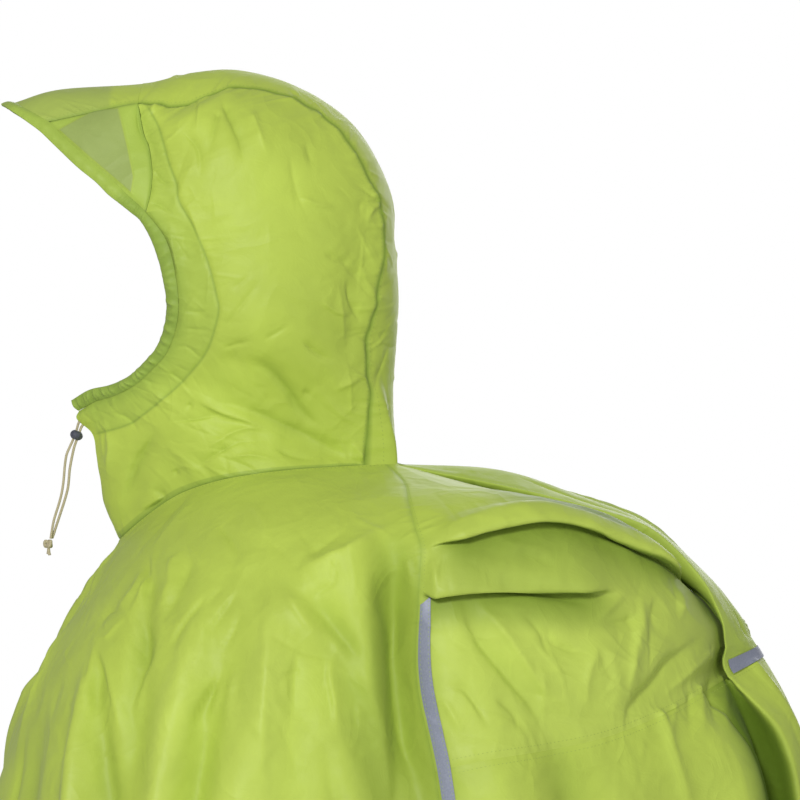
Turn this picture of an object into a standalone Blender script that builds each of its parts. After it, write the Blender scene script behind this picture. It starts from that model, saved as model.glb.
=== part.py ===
"""A hiker's rain poncho, worn: the hood is up and the back is spread over a rucksack.

Every piece of cloth is a thin wall round the empty space of the wearer and the rucksack.
The front faces -Y, the wearer's left is +X and up is +Z. The origin is the middle of the neck
opening, level with the back neck seam, where the wearer's neck and shoulders carry the garment.
Tables are in millimetres, and everything else is in metres.
"""

import math

import bmesh
import bpy
import numpy as np

MM = 0.001

# Cloth, seams and trim
CLOTH_WALL = 1.2 * MM
DOUBLE_WALL = 2.4 * MM
TAPE_WALL = 1.0 * MM
SEAM_GAP = 0.3 * MM
NECK_GAP = 0.5 * MM

# The garment's round, as a share of the half round from front centre to back centre
QUARTER = 0.23
SIDE = 0.45
HOOD_CORNER = 0.55
SIDE_SEAM = 0.59
PACK_SIDE = 0.73
PLEAT_EDGE = 0.93
TAPE_EDGES = (0.5915, 0.6015)

# The garment's drop, as a share of the way from the neck seam to the hem
BACK_SEAM = 0.37
BACK_TAPE = (0.332, 0.3692)
TAPE_TOP = 0.232

GUIDE_COLUMNS = ("drop", "x", "y", "z")
GUIDES = {
    0.0: (  # front centre
        (0.00, 0, -132, -64), (0.05, 0, -148, -90), (0.10, 0, -163, -115), (0.15, 0, -181, -142),
        (0.19, 0, -193, -163), (0.23, 0, -204, -186), (0.30, 0, -220, -226), (0.37, 0, -233, -272),
        (0.50, 0, -248, -385), (0.65, 0, -258, -545), (0.80, 0, -264, -735), (1.00, 0, -270, -1000),
    ),
    QUARTER: (  # chest
        (0.00, 61, -74, -22), (0.05, 92, -96, -51), (0.10, 126, -112, -82), (0.15, 155, -126, -114),
        (0.19, 172, -136, -143), (0.23, 185, -145, -175), (0.30, 201, -159, -232), (0.37, 213, -171, -295),
        (0.50, 229, -188, -420), (0.65, 244, -201, -585), (0.80, 257, -210, -762), (1.00, 272, -220, -1000),
    ),
    SIDE: (  # over the shoulder
        (0.00, 85, 10, -4), (0.05, 130, 8, -18), (0.10, 174, 10, -40), (0.15, 212, 14, -72),
        (0.19, 234, 18, -105), (0.23, 247, 20, -143), (0.30, 261, 21, -208), (0.37, 273, 21, -276),
        (0.50, 292, 20, -415), (0.65, 312, 16, -585), (0.80, 332, 10, -762), (1.00, 358, 2, -1000),
    ),
    SIDE_SEAM: (
        (0.00, 48, 96, 1), (0.05, 107, 109, -13), (0.10, 164, 113, -27), (0.15, 206, 118, -44),
        (0.19, 229, 124, -64), (0.23, 243, 124, -105), (0.30, 256, 125, -168), (0.37, 266, 139, -242),
        (0.50, 288, 157, -390), (0.65, 310, 169, -565), (0.80, 332, 176, -750), (1.00, 360, 182, -998),
    ),
    PACK_SIDE: (  # side of the rucksack
        (0.00, 34, 101, 1), (0.05, 110, 148, -14), (0.10, 152, 184, -20), (0.15, 176, 207, -28),
        (0.19, 187, 221, -40), (0.23, 197, 240, -104), (0.30, 203, 256, -165), (0.37, 206, 266, -222),
        (0.50, 210, 276, -375), (0.65, 214, 280, -555), (0.80, 224, 276, -742), (1.00, 250, 268, -995),
    ),
    PLEAT_EDGE: (  # edge of the box pleat
        (0.00, 20, 103, 1), (0.05, 45, 190, -16), (0.10, 52, 258, -33), (0.15, 55, 321, -56),
        (0.19, 58, 359, -94), (0.23, 59, 374, -121), (0.30, 60, 381, -151), (0.37, 61, 383, -177),
        (0.43, 63, 426, -222), (0.50, 66, 445, -290), (0.65, 72, 462, -470), (0.80, 80, 452, -700),
        (1.00, 95, 425, -988),
    ),
    1.0: (  # back centre
        (0.00, 0, 104, 1), (0.05, 0, 190, -4), (0.10, 0, 259, -26), (0.15, 0, 322, -53),
        (0.19, 0, 368, -94), (0.23, 0, 391, -121), (0.30, 0, 405, -147), (0.37, 0, 415, -163),
        (0.43, 0, 440, -210), (0.50, 0, 460, -285), (0.65, 0, 482, -465), (0.80, 0, 472, -700),
        (1.00, 0, 446, -990),
    ),
}


def through(knots, rows, at):
    """A smooth curve through rows, one row for each knot, read at each place."""
    knots = np.asarray(knots, float)
    rows = np.asarray(rows, float)
    at = np.atleast_1d(np.asarray(at, float))
    shape = (-1,) + (1,) * (rows.ndim - 1)
    steps = np.diff(knots).reshape(shape)
    slopes = np.diff(rows, axis=0) / steps
    tangents = np.empty_like(rows)
    tangents[1:-1] = (slopes[:-1] * steps[1:] + slopes[1:] * steps[:-1]) / (steps[:-1] + steps[1:])
    tangents[0] = slopes[0]
    tangents[-1] = slopes[-1]
    cell = np.clip(np.searchsorted(knots, at, side="right") - 1, 0, len(knots) - 2)
    span = knots[cell + 1] - knots[cell]
    t = (at - knots[cell]) / span
    weights = (
        2 * t**3 - 3 * t**2 + 1,
        (t**3 - 2 * t**2 + t) * span,
        3 * t**2 - 2 * t**3,
        (t**3 - t**2) * span,
    )
    if rows.ndim == 3:
        each = np.arange(len(at))
        parts = (rows[cell, each], tangents[cell, each], rows[cell + 1, each], tangents[cell + 1, each])
    else:
        parts = (rows[cell], tangents[cell], rows[cell + 1], tangents[cell + 1])
    return sum(weight[:, None] * part for weight, part in zip(weights, parts))


def plain_body(around, drop):
    """The smooth form of the body. around runs from -1 to 1, 0 at front centre and 1 at back centre."""
    around = np.asarray(around, float).ravel()
    drop = np.asarray(drop, float).ravel()
    places = sorted(GUIDES)
    lines = []
    for place in places:
        table = np.array(GUIDES[place], float)
        lines.append(through(table[:, 0], table[:, 1:] * MM, drop))
    mirror = np.array((-1, 1, 1))
    knots = [-places[1]] + places + [2 - places[-2]]
    lines = [lines[1] * mirror] + lines + [lines[-2] * mirror]
    points = through(knots, np.stack(lines), np.abs(around))
    points[:, 0] *= np.where(around < 0, -1, 1)
    return points


# Long soft folds that start below the shoulders and run to the hem. They keep to three places
# round the body: where they start, at the knee of the drape, and at the hem.
KNEE = 0.29
FOLD_COLUMNS = ("start drop", "start", "knee", "hem", "width", "hem width", "rise")
FOLDS = (
    # wearer's left, front centre to side seam
    (0.300, 0.050, 0.050, 0.055, 30, 42, 9),
    (0.200, 0.120, 0.140, 0.145, 26, 40, -11),
    (0.176, 0.200, 0.232, 0.225, 12, 30, 13),
    (0.185, 0.214, 0.262, 0.268, 12, 30, -12),
    (0.060, 0.262, 0.302, 0.312, 13, 30, -9),
    (0.130, 0.362, 0.334, 0.350, 20, 34, 15),
    (0.210, 0.376, 0.366, 0.388, 13, 30, -15),
    (0.160, 0.446, 0.412, 0.430, 28, 40, 15),
    (0.170, 0.462, 0.515, 0.492, 24, 38, -17),
    (0.230, 0.520, 0.543, 0.538, 14, 26, 10),
    (0.080, 0.576, 0.581, 0.582, 34, 30, -18),
    # wearer's left, side seam to box pleat
    (0.300, 0.632, 0.640, 0.642, 22, 34, 12),
    (0.280, 0.662, 0.690, 0.700, 20, 34, -14),
    (0.380, 0.750, 0.752, 0.762, 28, 38, 13),
    (0.360, 0.812, 0.812, 0.822, 24, 34, -12),
    # wearer's right, front centre to side seam
    (0.260, -0.060, -0.070, -0.075, 24, 38, -10),
    (0.190, -0.130, -0.150, -0.155, 22, 40, 12),
    (0.170, -0.215, -0.238, -0.240, 14, 32, -13),
    (0.120, -0.285, -0.300, -0.310, 18, 32, 11),
    (0.150, -0.372, -0.358, -0.366, 18, 32, -15),
    (0.170, -0.440, -0.420, -0.440, 26, 40, 16),
    (0.180, -0.470, -0.500, -0.498, 22, 36, -14),
    (0.090, -0.578, -0.580, -0.582, 32, 30, -16),
    # wearer's right, side seam to box pleat
    (0.300, -0.640, -0.650, -0.655, 22, 36, 11),
    (0.280, -0.680, -0.712, -0.716, 22, 34, -13),
    (0.370, -0.775, -0.780, -0.790, 28, 38, 12),
    (0.380, -0.840, -0.840, -0.838, 20, 30, -9),
)

# Pleats across the sides of the rucksack: the cloth above hangs over the cloth below.
PLEAT_COLUMNS = ("side", "drop", "from", "grown", "to", "height", "overhang")
PLEATS = (
    (1, 0.178, 0.591, 0.640, 0.915, 9, 10),
    (1, 0.221, 0.591, 0.605, 0.800, 8, 10),
    (-1, 0.174, 0.600, 0.640, 0.910, 8, 9),
    (-1, 0.224, 0.591, 0.607, 0.780, 9, 10),
)
PLEAT_WIDTH = 0.018
PLEAT_FADE = 0.055
LIP_COLUMNS = ("place", "out", "down")
LIP = (
    (-1.6, 0.0, 0.0), (-0.8, 0.35, 0.05), (-0.3, 0.85, 0.35), (0.0, 1.0, 1.0),
    (0.15, 0.6, 0.75), (0.35, -0.15, -0.2), (0.8, -0.25, -0.35), (1.6, 0.0, 0.0),
)

# The box pleat down the middle of the back. Its panel turns under at each edge, and the side
# panels run on beneath it to the same seam.
BOX_COLUMNS = ("across", "around", "out", "valley out")
BOX_PANEL = (
    (0.00, 1.000, 0.0, 0.0), (0.45, 0.962, 0.0, 0.0), (0.75, 0.936, 0.0, 0.0), (0.84, 0.930, -1.2, 0.0),
    (0.91, 0.935, -5.0, -10.5), (1.00, 0.947, -7.4, -12.0),
)
BOX_FLAT = 0.75
SIDE_UNDER = 0.947
UNDER_COLUMNS = ("around", "out", "valley out")
UNDER_TURN = (
    (0.59, 0.0, 0.0), (0.80, 0.0, 0.0), (0.86, 0.0, -0.6), (0.88, -1.8, -5.0), (0.90, -4.0, -10.0),
    (0.93, -8.6, -12.0), (0.947, -9.1, -12.0),
)
# Above the first cross pleat the side panels sink deeper beside the box pleat, as a long dark valley.
VALLEY_COLUMNS = ("drop", "depth")
VALLEY = (
    (0.0, 0.0), (0.035, 0.1), (0.075, 0.5), (0.115, 0.85), (0.15, 1.0), (0.175, 0.85), (0.205, 0.3),
    (0.24, 0.0), (BACK_SEAM, 0.0),
)
OPEN_COLUMNS = ("step", "around", "out")
OPEN_PLEAT = (
    (0.86, 0.860, 0.0), (0.885, 0.890, -6.0), (0.905, 0.915, -16.0), (0.92, 0.930, -21.0),
    (0.935, 0.934, -12.0), (0.948, 0.930, -2.0), (0.963, 0.941, 0.0), (0.98, 0.970, 0.0),
    (1.0, 1.0, 0.0),
)


def ease(x):
    x = np.clip(x, 0, 1)
    return x * x * (3 - 2 * x)


def directions(around, drop):
    """The plain body's outward and downward directions at each place."""
    step = 0.002
    right = plain_body(around + step, drop) - plain_body(around - step, drop)
    low = np.minimum(drop + step, 1)
    high = np.maximum(drop - step, 0)
    down = plain_body(around, low) - plain_body(around, high)
    out = np.cross(down, right)
    down /= np.linalg.norm(down, axis=1)[:, None]
    out /= np.linalg.norm(out, axis=1)[:, None]
    return out, down


def fold_height(around, drop):
    """How far the long folds stand out at each place."""
    height = np.zeros_like(drop)
    for start_drop, start, knee, hem, width, hem_width, rise in FOLDS:
        knots = (start_drop, max(KNEE, start_drop + 0.08), 1.0)
        line = through(knots, np.array(((start,), (knee,), (hem,))), np.maximum(drop, start_drop))[:, 0]
        grown = ease((drop - start_drop) / 0.16)
        wide = (width + (hem_width - width) * ease((drop - start_drop) / 0.7)) * MM
        height += rise * MM * grown * np.exp(-(((around - line) / wide) ** 2))
    return height


def pleat_shift(around, drop):
    """How far the cross pleats push the cloth out and down at each place."""
    out = np.zeros_like(drop)
    down = np.zeros_like(drop)
    lip = np.array(LIP)
    for side, line, first, grown, last, height, overhang in PLEATS:
        there = ease((around * side - first) / (grown - first))
        there *= ease((last - around * side) / PLEAT_FADE)
        place = np.clip((drop - line) / PLEAT_WIDTH, LIP[0][0], LIP[-1][0])
        shape = through(lip[:, 0], lip[:, 1:], place)
        out += there * height * MM * shape[:, 0]
        down += there * overhang * MM * shape[:, 1]
    return out, down


def body(around, drop, extra=0.0):
    """The outer face of the body's cloth, with its folds and pleats, moved out by extra."""
    around, drop = np.broadcast_arrays(np.asarray(around, float), np.asarray(drop, float))
    shape = around.shape
    around = around.ravel()
    drop = drop.ravel()
    extra = np.broadcast_to(extra, shape).ravel()
    out, down = directions(around, drop)
    pleat_out, pleat_down = pleat_shift(around, drop)
    away = (fold_height(around, drop) + pleat_out + extra)[:, None]
    points = plain_body(around, drop) + out * away + down * pleat_down[:, None]
    return points.reshape(shape + (3,))


# The hood. A row for each station: the crest on the centre line, and the centre panel's left seam.
ROOT = 2
NECK_END = 12
CREST_COLUMNS = ("crest y", "crest z", "seam x", "seam y", "seam z")
CREST = (
    (-221, 308, 46, -190, 290),  # front of the brim
    (-183, 319, 50, -151, 298),
    (-112, 324, 55, -114, 305),  # root of the brim
    (-72, 333, 56, -77, 302),
    (-27, 335, 50, -33, 318),
    (26, 318, 50, 22, 307),
    (71, 284, 52, 58, 279),
    (99, 229, 52, 86, 231),
    (102, 187, 52, 94, 190),
    (105, 140, 56, 86, 135),
    (103, 102, 58, 78, 101),
    (100, 55, 58, 81, 57),
    (103, 2, 66, 76, -1),  # neck seam
)

# The root of the brim, down the left side from the centre panel to the drawcord tunnel.
ROOT_COLUMNS = ("x", "y", "z")
ROOT_LINE = (
    (55, -114, 305), (66, -109, 280), (74, -104, 267), (82, -101, 247), (87, -102, 229), (90, -106, 212),
)

# The face opening, from the middle of the brim down the left side to the throat: its rim, and
# the seam line where the drawcord tunnel meets the hood.
TEMPLE = 9
THROAT = 18
FACE_COLUMNS = ("rim x", "rim y", "rim z", "line x", "line y", "line z")
FACE = (
    (0, -233, 307, 0, -221, 308),
    (26, -224, 301, 25, -213, 303),
    (47, -199, 283, 46, -190, 290),  # the centre panel's seam
    (56, -185, 270, 55, -178, 278),
    (68, -165, 251, 68, -158, 260),
    (75, -149, 238, 75, -142, 246),
    (80, -138, 227, 80, -131, 236),
    (83, -129, 220, 84, -122, 227),
    (86, -119, 212, 87, -113, 219),
    (88, -110, 204, 90, -106, 212),  # temple
    (88, -100, 185, 93, -89, 189),
    (88, -92, 158, 94, -81, 159),
    (84, -89, 129, 91, -79, 126),
    (73, -96, 103, 78, -88, 97),  # cheek
    (58, -109, 87, 62, -103, 80),
    (44, -123, 75, 48, -117, 68),
    (28, -139, 68, 30, -135, 59),
    (13, -157, 64, 14, -152, 54),
    (0, -173, 55, 0, -167, 46),  # throat
)
# The throat's edge below the tunnel, forward of a straight line to the neck seam.
EDGE_COLUMNS = ("share", "forward")
THROAT_EDGE = (
    (0.0, 0.0), (0.05, 3.6), (0.16, -5.0), (0.34, -3.8), (0.52, -0.6), (0.70, 2.9), (0.86, 2.1), (1.0, 0.0),
)

# Soft folds of the hood's sides, as seen from the side, from one end to the other
SIDE_FOLD_COLUMNS = ("side", "y", "z", "end y", "end z", "width", "rise")
SIDE_FOLDS = (
    (1, -72, 62, 2, 28, 9, 3.5),
    (1, -46, 44, 50, 10, 10, -3.5),
    (1, -30, 90, 24, 36, 10, -3.0),
    (1, -116, -22, -126, -50, 8, -3.0),
    (1, 62, 100, 76, 180, 12, -3.0),
    (-1, -66, 70, 10, 34, 10, 3.5),
    (-1, -50, 36, 40, 14, 11, -4.0),
    (-1, -24, 104, 30, 50, 11, -2.5),
    (-1, -108, -14, -122, -46, 9, -3.0),
    (-1, 58, 70, 78, 150, 13, -3.5),
)
CROWN_ARCH = math.radians(50)
HOOD_BULGE = 22 * MM
THROAT_BULGE = 9 * MM
BRIM_BULGE = 3 * MM
CASING_PUFF = 1.6 * MM
GATHER_HEIGHT = 1.0 * MM

# The drawcord's two strands, from the throat through the cord lock to the knot
CORD_DIAMETER = 2.3 * MM
CORD_STEPS = 19
CORD_SIDES = 2
STRAND_COLUMNS = ("x", "y", "z")
LEFT_STRAND = (
    (1.4, -166.3, 37.0), (0.6, -167.5, 34.0), (0.1, -168.4, 30.6), (0.0, -170.1, 25.9), (0.0, -171.8, 21.2),
    (0.0, -174.6, 15.0), (0.0, -177.1, 9.1), (0.0, -178.3, 2.2), (0.0, -179.0, -4.6), (0.0, -179.6, -12.0),
    (0.1, -180.5, -19.2), (0.2, -181.9, -26.5), (0.3, -183.9, -33.8), (0.5, -186.0, -40.4),
    (0.8, -187.8, -46.5), (1.1, -189.0, -52.4), (1.3, -189.9, -58.2), (1.3, -190.6, -62.6),
)
RIGHT_STRAND = (
    (-1.4, -163.4, 34.0), (-0.6, -164.7, 32.0), (-0.1, -165.6, 29.6), (0.0, -167.3, 24.9),
    (0.0, -169.0, 20.2),
    (0.0, -170.8, 14.8), (0.0, -172.1, 9.1), (0.0, -173.5, 2.2), (0.0, -174.6, -4.6), (0.0, -175.2, -12.0),
    (-0.1, -176.0, -19.2), (-0.2, -177.8, -26.5), (-0.3, -180.0, -33.8), (-0.5, -182.2, -40.4),
    (-0.8, -184.2, -46.5), (-1.1, -186.2, -52.4), (-1.3, -188.0, -58.2), (-1.3, -189.6, -62.4),
)

# The cord lock: a ball with a slot through it for both strands
LOCK_PLACE = np.array((0.0, -168.7, 25.4)) * MM
LOCK_TILT = math.radians(20)
LOCK_RADIUS = 5.6 * MM
LOCK_HALF_HEIGHT = 4.6 * MM
LOCK_SLOT = (1.5 * MM, 3.0 * MM)
LOCK_RIM = 0.8

# The knot in both strands, with their cut ends below it
KNOT_PLACE = np.array((0.0, -193.1, -68.0)) * MM
KNOT_DEPTH = 0.8
KNOT_COLUMNS = ("radius", "height")
KNOT_PROFILE = (
    (1.2, 4.7), (3.0, 4.0), (4.4, 2.2), (4.7, 0.0), (4.2, -2.4), (2.7, -4.4), (2.3, -6.0),
    (2.6, -10.2), (1.6, -10.8),
)
RING_SIDES = 12


def row_curve(table, first, last, at):
    """A table's columns in metres, read at station numbers."""
    rows = np.array(table, float)[:, first:last] * MM
    return through(np.arange(len(rows)), rows, at)


def centre_line(at):
    points = np.zeros((len(at), 3))
    points[:, 1:] = row_curve(CREST, 0, 2, at)
    return points


def crown_seam(at):
    return row_curve(CREST, 2, 5, at)


def arch(crest, seam, across):
    """Points over the crest on an arc from the left seam, 1 across, to the right seam, -1 across."""
    turn = across * CROWN_ARCH
    points = crest + (seam - crest) * ((1 - np.cos(turn)) / (1 - math.cos(CROWN_ARCH)))[:, None]
    points[:, 0] = seam[:, 0] * np.sin(turn) / math.sin(CROWN_ARCH)
    return points


def crown_out(at):
    """Outward directions along the centre panel's left seam."""
    up = centre_line(at) - crown_seam(at)
    up[:, 0] = 0
    up /= np.linalg.norm(up, axis=1)[:, None]
    return up * math.cos(CROWN_ARCH) + np.array((math.sin(CROWN_ARCH), 0, 0))


def brim_root(at):
    return row_curve(ROOT_LINE, 0, 3, at)


def face_rim(at):
    return row_curve(FACE, 0, 3, at)


def tunnel_line(at):
    start = np.zeros(len(at))
    over_brim = arch(centre_line(start), crown_seam(start), np.minimum(at / ROOT, 1))
    return np.where((at < ROOT)[:, None], over_brim, row_curve(FACE, 3, 6, at))


def neck_ring(around):
    """The hood's lower edge, just above the body's."""
    points = body(around, np.zeros_like(around))
    points[:, 2] += NECK_GAP
    return points


def between(start, end, share):
    return start[:, None, :] * (1 - share)[None, :, None] + end[:, None, :] * share[None, :, None]


def centre_grid(stations, across):
    """The centre panel's outer face: a row for each station, across from the left seam to the right."""
    crest = centre_line(stations)
    seam = crown_seam(stations)
    grid = np.stack([arch(crest, seam, np.full(len(stations), place)) for place in across], axis=1)
    settle = ease((stations - (NECK_END - 1.5)) / 1.5)
    neck = neck_ring(np.sign(across) * (1 - (1 - HOOD_CORNER) * np.abs(across)))
    neck[across == 0] = neck_ring(np.array((1.0,)))
    end = np.full(1, float(NECK_END))
    last = np.concatenate([arch(centre_line(end), crown_seam(end), np.array((place,))) for place in across])
    return grid + settle[:, None, None] * (neck - last)[None]


def side_folds(grid, side):
    """How far the folds of one side of the hood stand out at each point."""
    height = np.zeros(grid.shape[:2])
    for which, y, z, end_y, end_z, width, rise in SIDE_FOLDS:
        if which == side:
            start = np.array((y, z)) * MM
            run = np.array((end_y, end_z)) * MM - start
            there = grid[:, :, 1:] - start
            along = np.clip(there @ run / (run @ run), 0, 1)
            away = np.linalg.norm(there - along[:, :, None] * run, axis=2)
            height += rise * MM * np.exp(-((away / (width * MM)) ** 2))
    return height


def hood_side_grid(stations, share, side=1):
    """One side panel's outer face, drawn on the left: from the face out to the crown and the neck."""
    inner = np.where(
        (stations <= TEMPLE - 4)[:, None],
        brim_root(np.minimum(stations, TEMPLE - 4)),
        tunnel_line(np.maximum(stations + 4, TEMPLE)),
    )
    around = HOOD_CORNER * (THROAT - 4 - stations) / 4
    crown = stations <= NECK_END - ROOT
    outer = np.where(
        crown[:, None],
        crown_seam(np.minimum(stations + ROOT, NECK_END)),
        neck_ring(np.clip(around, 0, HOOD_CORNER)),
    )
    corner = neck_ring(np.array((HOOD_CORNER,))) - crown_seam(np.array((float(NECK_END),)))
    outer += (ease((stations - (NECK_END - ROOT - 1.5)) / 1.5) * crown)[:, None] * corner
    grid = between(inner, outer, share)
    power = 3 - 1.8 * ease((stations - 8) / 3)
    bend = share[None, :] ** power[:, None]
    width = inner[:, 0, None] + (outer[:, 0] - inner[:, 0])[:, None] * bend
    length = np.linalg.norm(outer - inner, axis=1)
    swell = HOOD_BULGE + (THROAT_BULGE - HOOD_BULGE) * ease((stations - 8) / 4)
    swell = swell * np.minimum(length / 0.16, 1) * ease((THROAT - 4 - stations) / 2.5)
    grid[:, :, 0] = width + swell[:, None] * np.sin(math.pi * share)[None, :]
    edge = np.array(THROAT_EDGE)
    forward = through(edge[:, 0], edge[:, 1:] * MM, share)[:, 0]
    grid[:, :, 1] -= ease((stations - (THROAT - 7)) / 3)[:, None] ** 2 * forward
    inside = ease(np.minimum(share, 1 - share) / 0.12)[None, :]
    inside = inside * ease((THROAT - 4 - stations) / 0.5)[:, None]
    grid[:, :, 0] += side_folds(grid, side) * inside
    return grid


def brim_side_grid(stations, share):
    """The brim's left side: from the tunnel up to the centre panel and back to the brim's root."""
    inner = tunnel_line(stations + ROOT)
    outer = np.where(
        (stations <= ROOT)[:, None],
        crown_seam(np.minimum(stations, ROOT)),
        brim_root(np.maximum(stations - ROOT, 0)),
    )
    grid = between(inner, outer, share)
    length = np.linalg.norm(outer - inner, axis=1)
    swell = BRIM_BULGE * np.minimum(length / 0.05, 1)
    grid[:, :, 0] += swell[:, None] * np.sin(math.pi * share)[None, :]
    return grid


def tunnel_grid(stations, share):
    """The drawcord tunnel from its seam line to the rim. Stations below zero are on the right."""
    there = np.abs(stations)
    grid = between(tunnel_line(there), face_rim(there), share)
    grid[:, :, 0] *= np.where(stations < 0, -1, 1)[:, None]
    return grid


def outward(grid):
    """Unit directions square to a grid of points, from its neighbours along rows and columns."""
    out = np.cross(np.gradient(grid, axis=0), np.gradient(grid, axis=1))
    return out / np.linalg.norm(out, axis=2)[:, :, None]


def plain_out(around, drop):
    """The plain body's outward directions."""
    around, drop = np.broadcast_arrays(np.asarray(around, float), np.asarray(drop, float))
    return directions(around.ravel(), drop.ravel())[0].reshape(around.shape + (3,))


def material(name, colour, roughness, metallic=0.0):
    made = bpy.data.materials.new(name)
    made.use_nodes = True
    shader = made.node_tree.nodes["Principled BSDF"]
    shader.inputs["Base Color"].default_value = (*colour, 1)
    shader.inputs["Roughness"].default_value = roughness
    shader.inputs["Metallic"].default_value = metallic
    return made


def add_object(name, points, faces, finish):
    mesh = bpy.data.meshes.new(name)
    mesh.from_pydata([tuple(point) for point in points], [], faces)
    shape = bmesh.new()
    shape.from_mesh(mesh)
    bmesh.ops.recalc_face_normals(shape, faces=shape.faces)
    shape.to_mesh(mesh)
    shape.free()
    mesh.shade_smooth()
    mesh.materials.append(finish)
    item = bpy.data.objects.new(name, mesh)
    bpy.context.scene.collection.objects.link(item)
    return item


def wall(name, grid, out, thickness, finish):
    """A closed wall with the grid as its outer face, thickened against the outward directions."""
    inner = grid - out * thickness
    rows, columns = grid.shape[:2]
    count = rows * columns
    number = np.arange(count).reshape(rows, columns)
    faces = []
    for row in range(rows - 1):
        for column in range(columns - 1):
            ring = (
                number[row, column], number[row + 1, column],
                number[row + 1, column + 1], number[row, column + 1],
            )
            for corners in ((0, 1, 2), (0, 2, 3)):
                faces.append([int(ring[i]) for i in corners])
                faces.append([int(ring[i]) + count for i in reversed(corners)])
    rim = list(number[0, :-1]) + list(number[:-1, -1]) + list(number[-1, :0:-1]) + list(number[:0:-1, 0])
    for here, there in zip(rim, rim[1:] + rim[:1]):
        faces.append([int(here), int(there), int(there) + count, int(here) + count])
    return add_object(name, np.concatenate((grid.reshape(-1, 3), inner.reshape(-1, 3))), faces, finish)


def both_sides(name, grid, out, thickness, finish):
    """A left wall, and its mirror image on the right."""
    mirror = np.array((-1, 1, 1))
    wall(f"{name}_left", grid, out, thickness, finish)
    wall(f"{name}_right", grid * mirror, out * mirror, thickness, finish)


def spread(edges, counts):
    """Numbers from edge to edge, each stretch cut into its own count of equal steps."""
    pieces = [np.linspace(a, b, n, endpoint=False) for a, b, n in zip(edges, edges[1:], counts)]
    return np.concatenate(pieces + [np.array((edges[-1],))])


def over_back(half):
    """Places from the left side over the back centre to the right side, from those on the left."""
    around = np.concatenate((half, 2 - half[-2::-1]))
    return np.where(around > 1, around - 2, around)


# Steps of the grids
NECK_STEPS = 24
BACK_DROPS = np.array((
    0.0, 0.035, 0.075, 0.115, 0.149, 0.164, 0.1726, 0.178, 0.1807, 0.1843, 0.1924, 0.2066,
    0.2156, 0.221, 0.2237, 0.2273, 0.2354, 0.25, 0.28, 0.31, *BACK_TAPE, BACK_SEAM,
))
LOW_DROPS = spread((BACK_SEAM, 0.5, 1.0), (4, 8))
FRONT_DROPS = np.array((
    0.0, 0.035, 0.075, 0.115, 0.149, 0.178, 0.2066, 0.2354, 0.265, 0.295, 0.335, *LOW_DROPS,
))
SIDE_STEPS = (0.635, 0.67, 0.705, 0.74, 0.78, 0.82, 0.86)
UPPER_STEPS = (*SIDE_STEPS, 0.88, 0.90, 0.93, SIDE_UNDER)
HALF_GAP = 0.00016
CENTRE_ACROSS = np.array((0.997, 0.75, 0.5, 0.25, 0.0, -0.25, -0.5, -0.75, -0.997))


def seam_line(side, drops):
    """The back's edge along the front panel's side seam, which is straight between the front's rows."""
    corners = body(side * (SIDE_SEAM + HALF_GAP), FRONT_DROPS)
    return np.stack([np.interp(drops, FRONT_DROPS, corners[:, axis]) for axis in range(3)], axis=1)


def with_valley(out, drops):
    """How far cloth stands out at each drop, from its plain column and its column in the valley."""
    valley = np.array(VALLEY)
    depth = through(valley[:, 0], valley[:, 1:], drops)
    return out[None, :, 0] + depth * out[None, :, 1]


def make_front(cloth):
    """One panel over the chest and both shoulders, from side seam to side seam."""
    half = np.concatenate((np.linspace(0, HOOD_CORNER, NECK_STEPS + 1), (0.572, SIDE_SEAM - HALF_GAP)))
    around = np.concatenate((-half[:0:-1], half))
    grid = body(around[None, :], FRONT_DROPS[:, None])
    out = outward(grid)
    out[:, 0] = plain_out(-SIDE_SEAM, FRONT_DROPS)
    out[:, -1] = plain_out(SIDE_SEAM, FRONT_DROPS)
    wall("front_panel", grid, out, CLOTH_WALL, cloth)


def make_back_sides(cloth):
    columns = np.array((SIDE_SEAM + HALF_GAP, *TAPE_EDGES, *UPPER_STEPS))
    under = np.array(UNDER_TURN)
    drops = BACK_DROPS.copy()
    drops[-1] -= HALF_GAP
    sunk = with_valley(through(under[:, 0], under[:, 1:] * MM, columns), drops)
    flat = columns <= SIDE_STEPS[-1]
    for name, side in (("left", 1), ("right", -1)):
        grid = body(columns[None, :] * side, drops[:, None], sunk)
        grid[:, 0] = seam_line(side, drops)
        out = outward(grid) * side
        out[:, 0] = plain_out(side * SIDE_SEAM, drops)
        out[-1, flat] = plain_out(side * columns[flat], BACK_SEAM)
        wall(f"back_side_{name}", grid, out, CLOTH_WALL, cloth)


def box_columns():
    box = np.array(BOX_PANEL)
    across = np.sort(np.concatenate((box[:, 0], (0.22, 0.6))))[::-1]
    return across, through(box[:, 0], box[:, 1:], across)


def make_back_centre(cloth):
    """The raised panel of the box pleat, with its edges turned under."""
    _, half = box_columns()
    both = np.concatenate((half[:, 1:], half[-2::-1, 1:])) * MM
    drops = BACK_DROPS.copy()
    drops[-1] -= HALF_GAP
    grid = body(over_back(half[:, 0])[None, :], drops[:, None], with_valley(both, drops))
    wall("back_centre", grid, outward(grid), CLOTH_WALL, cloth)


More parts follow.
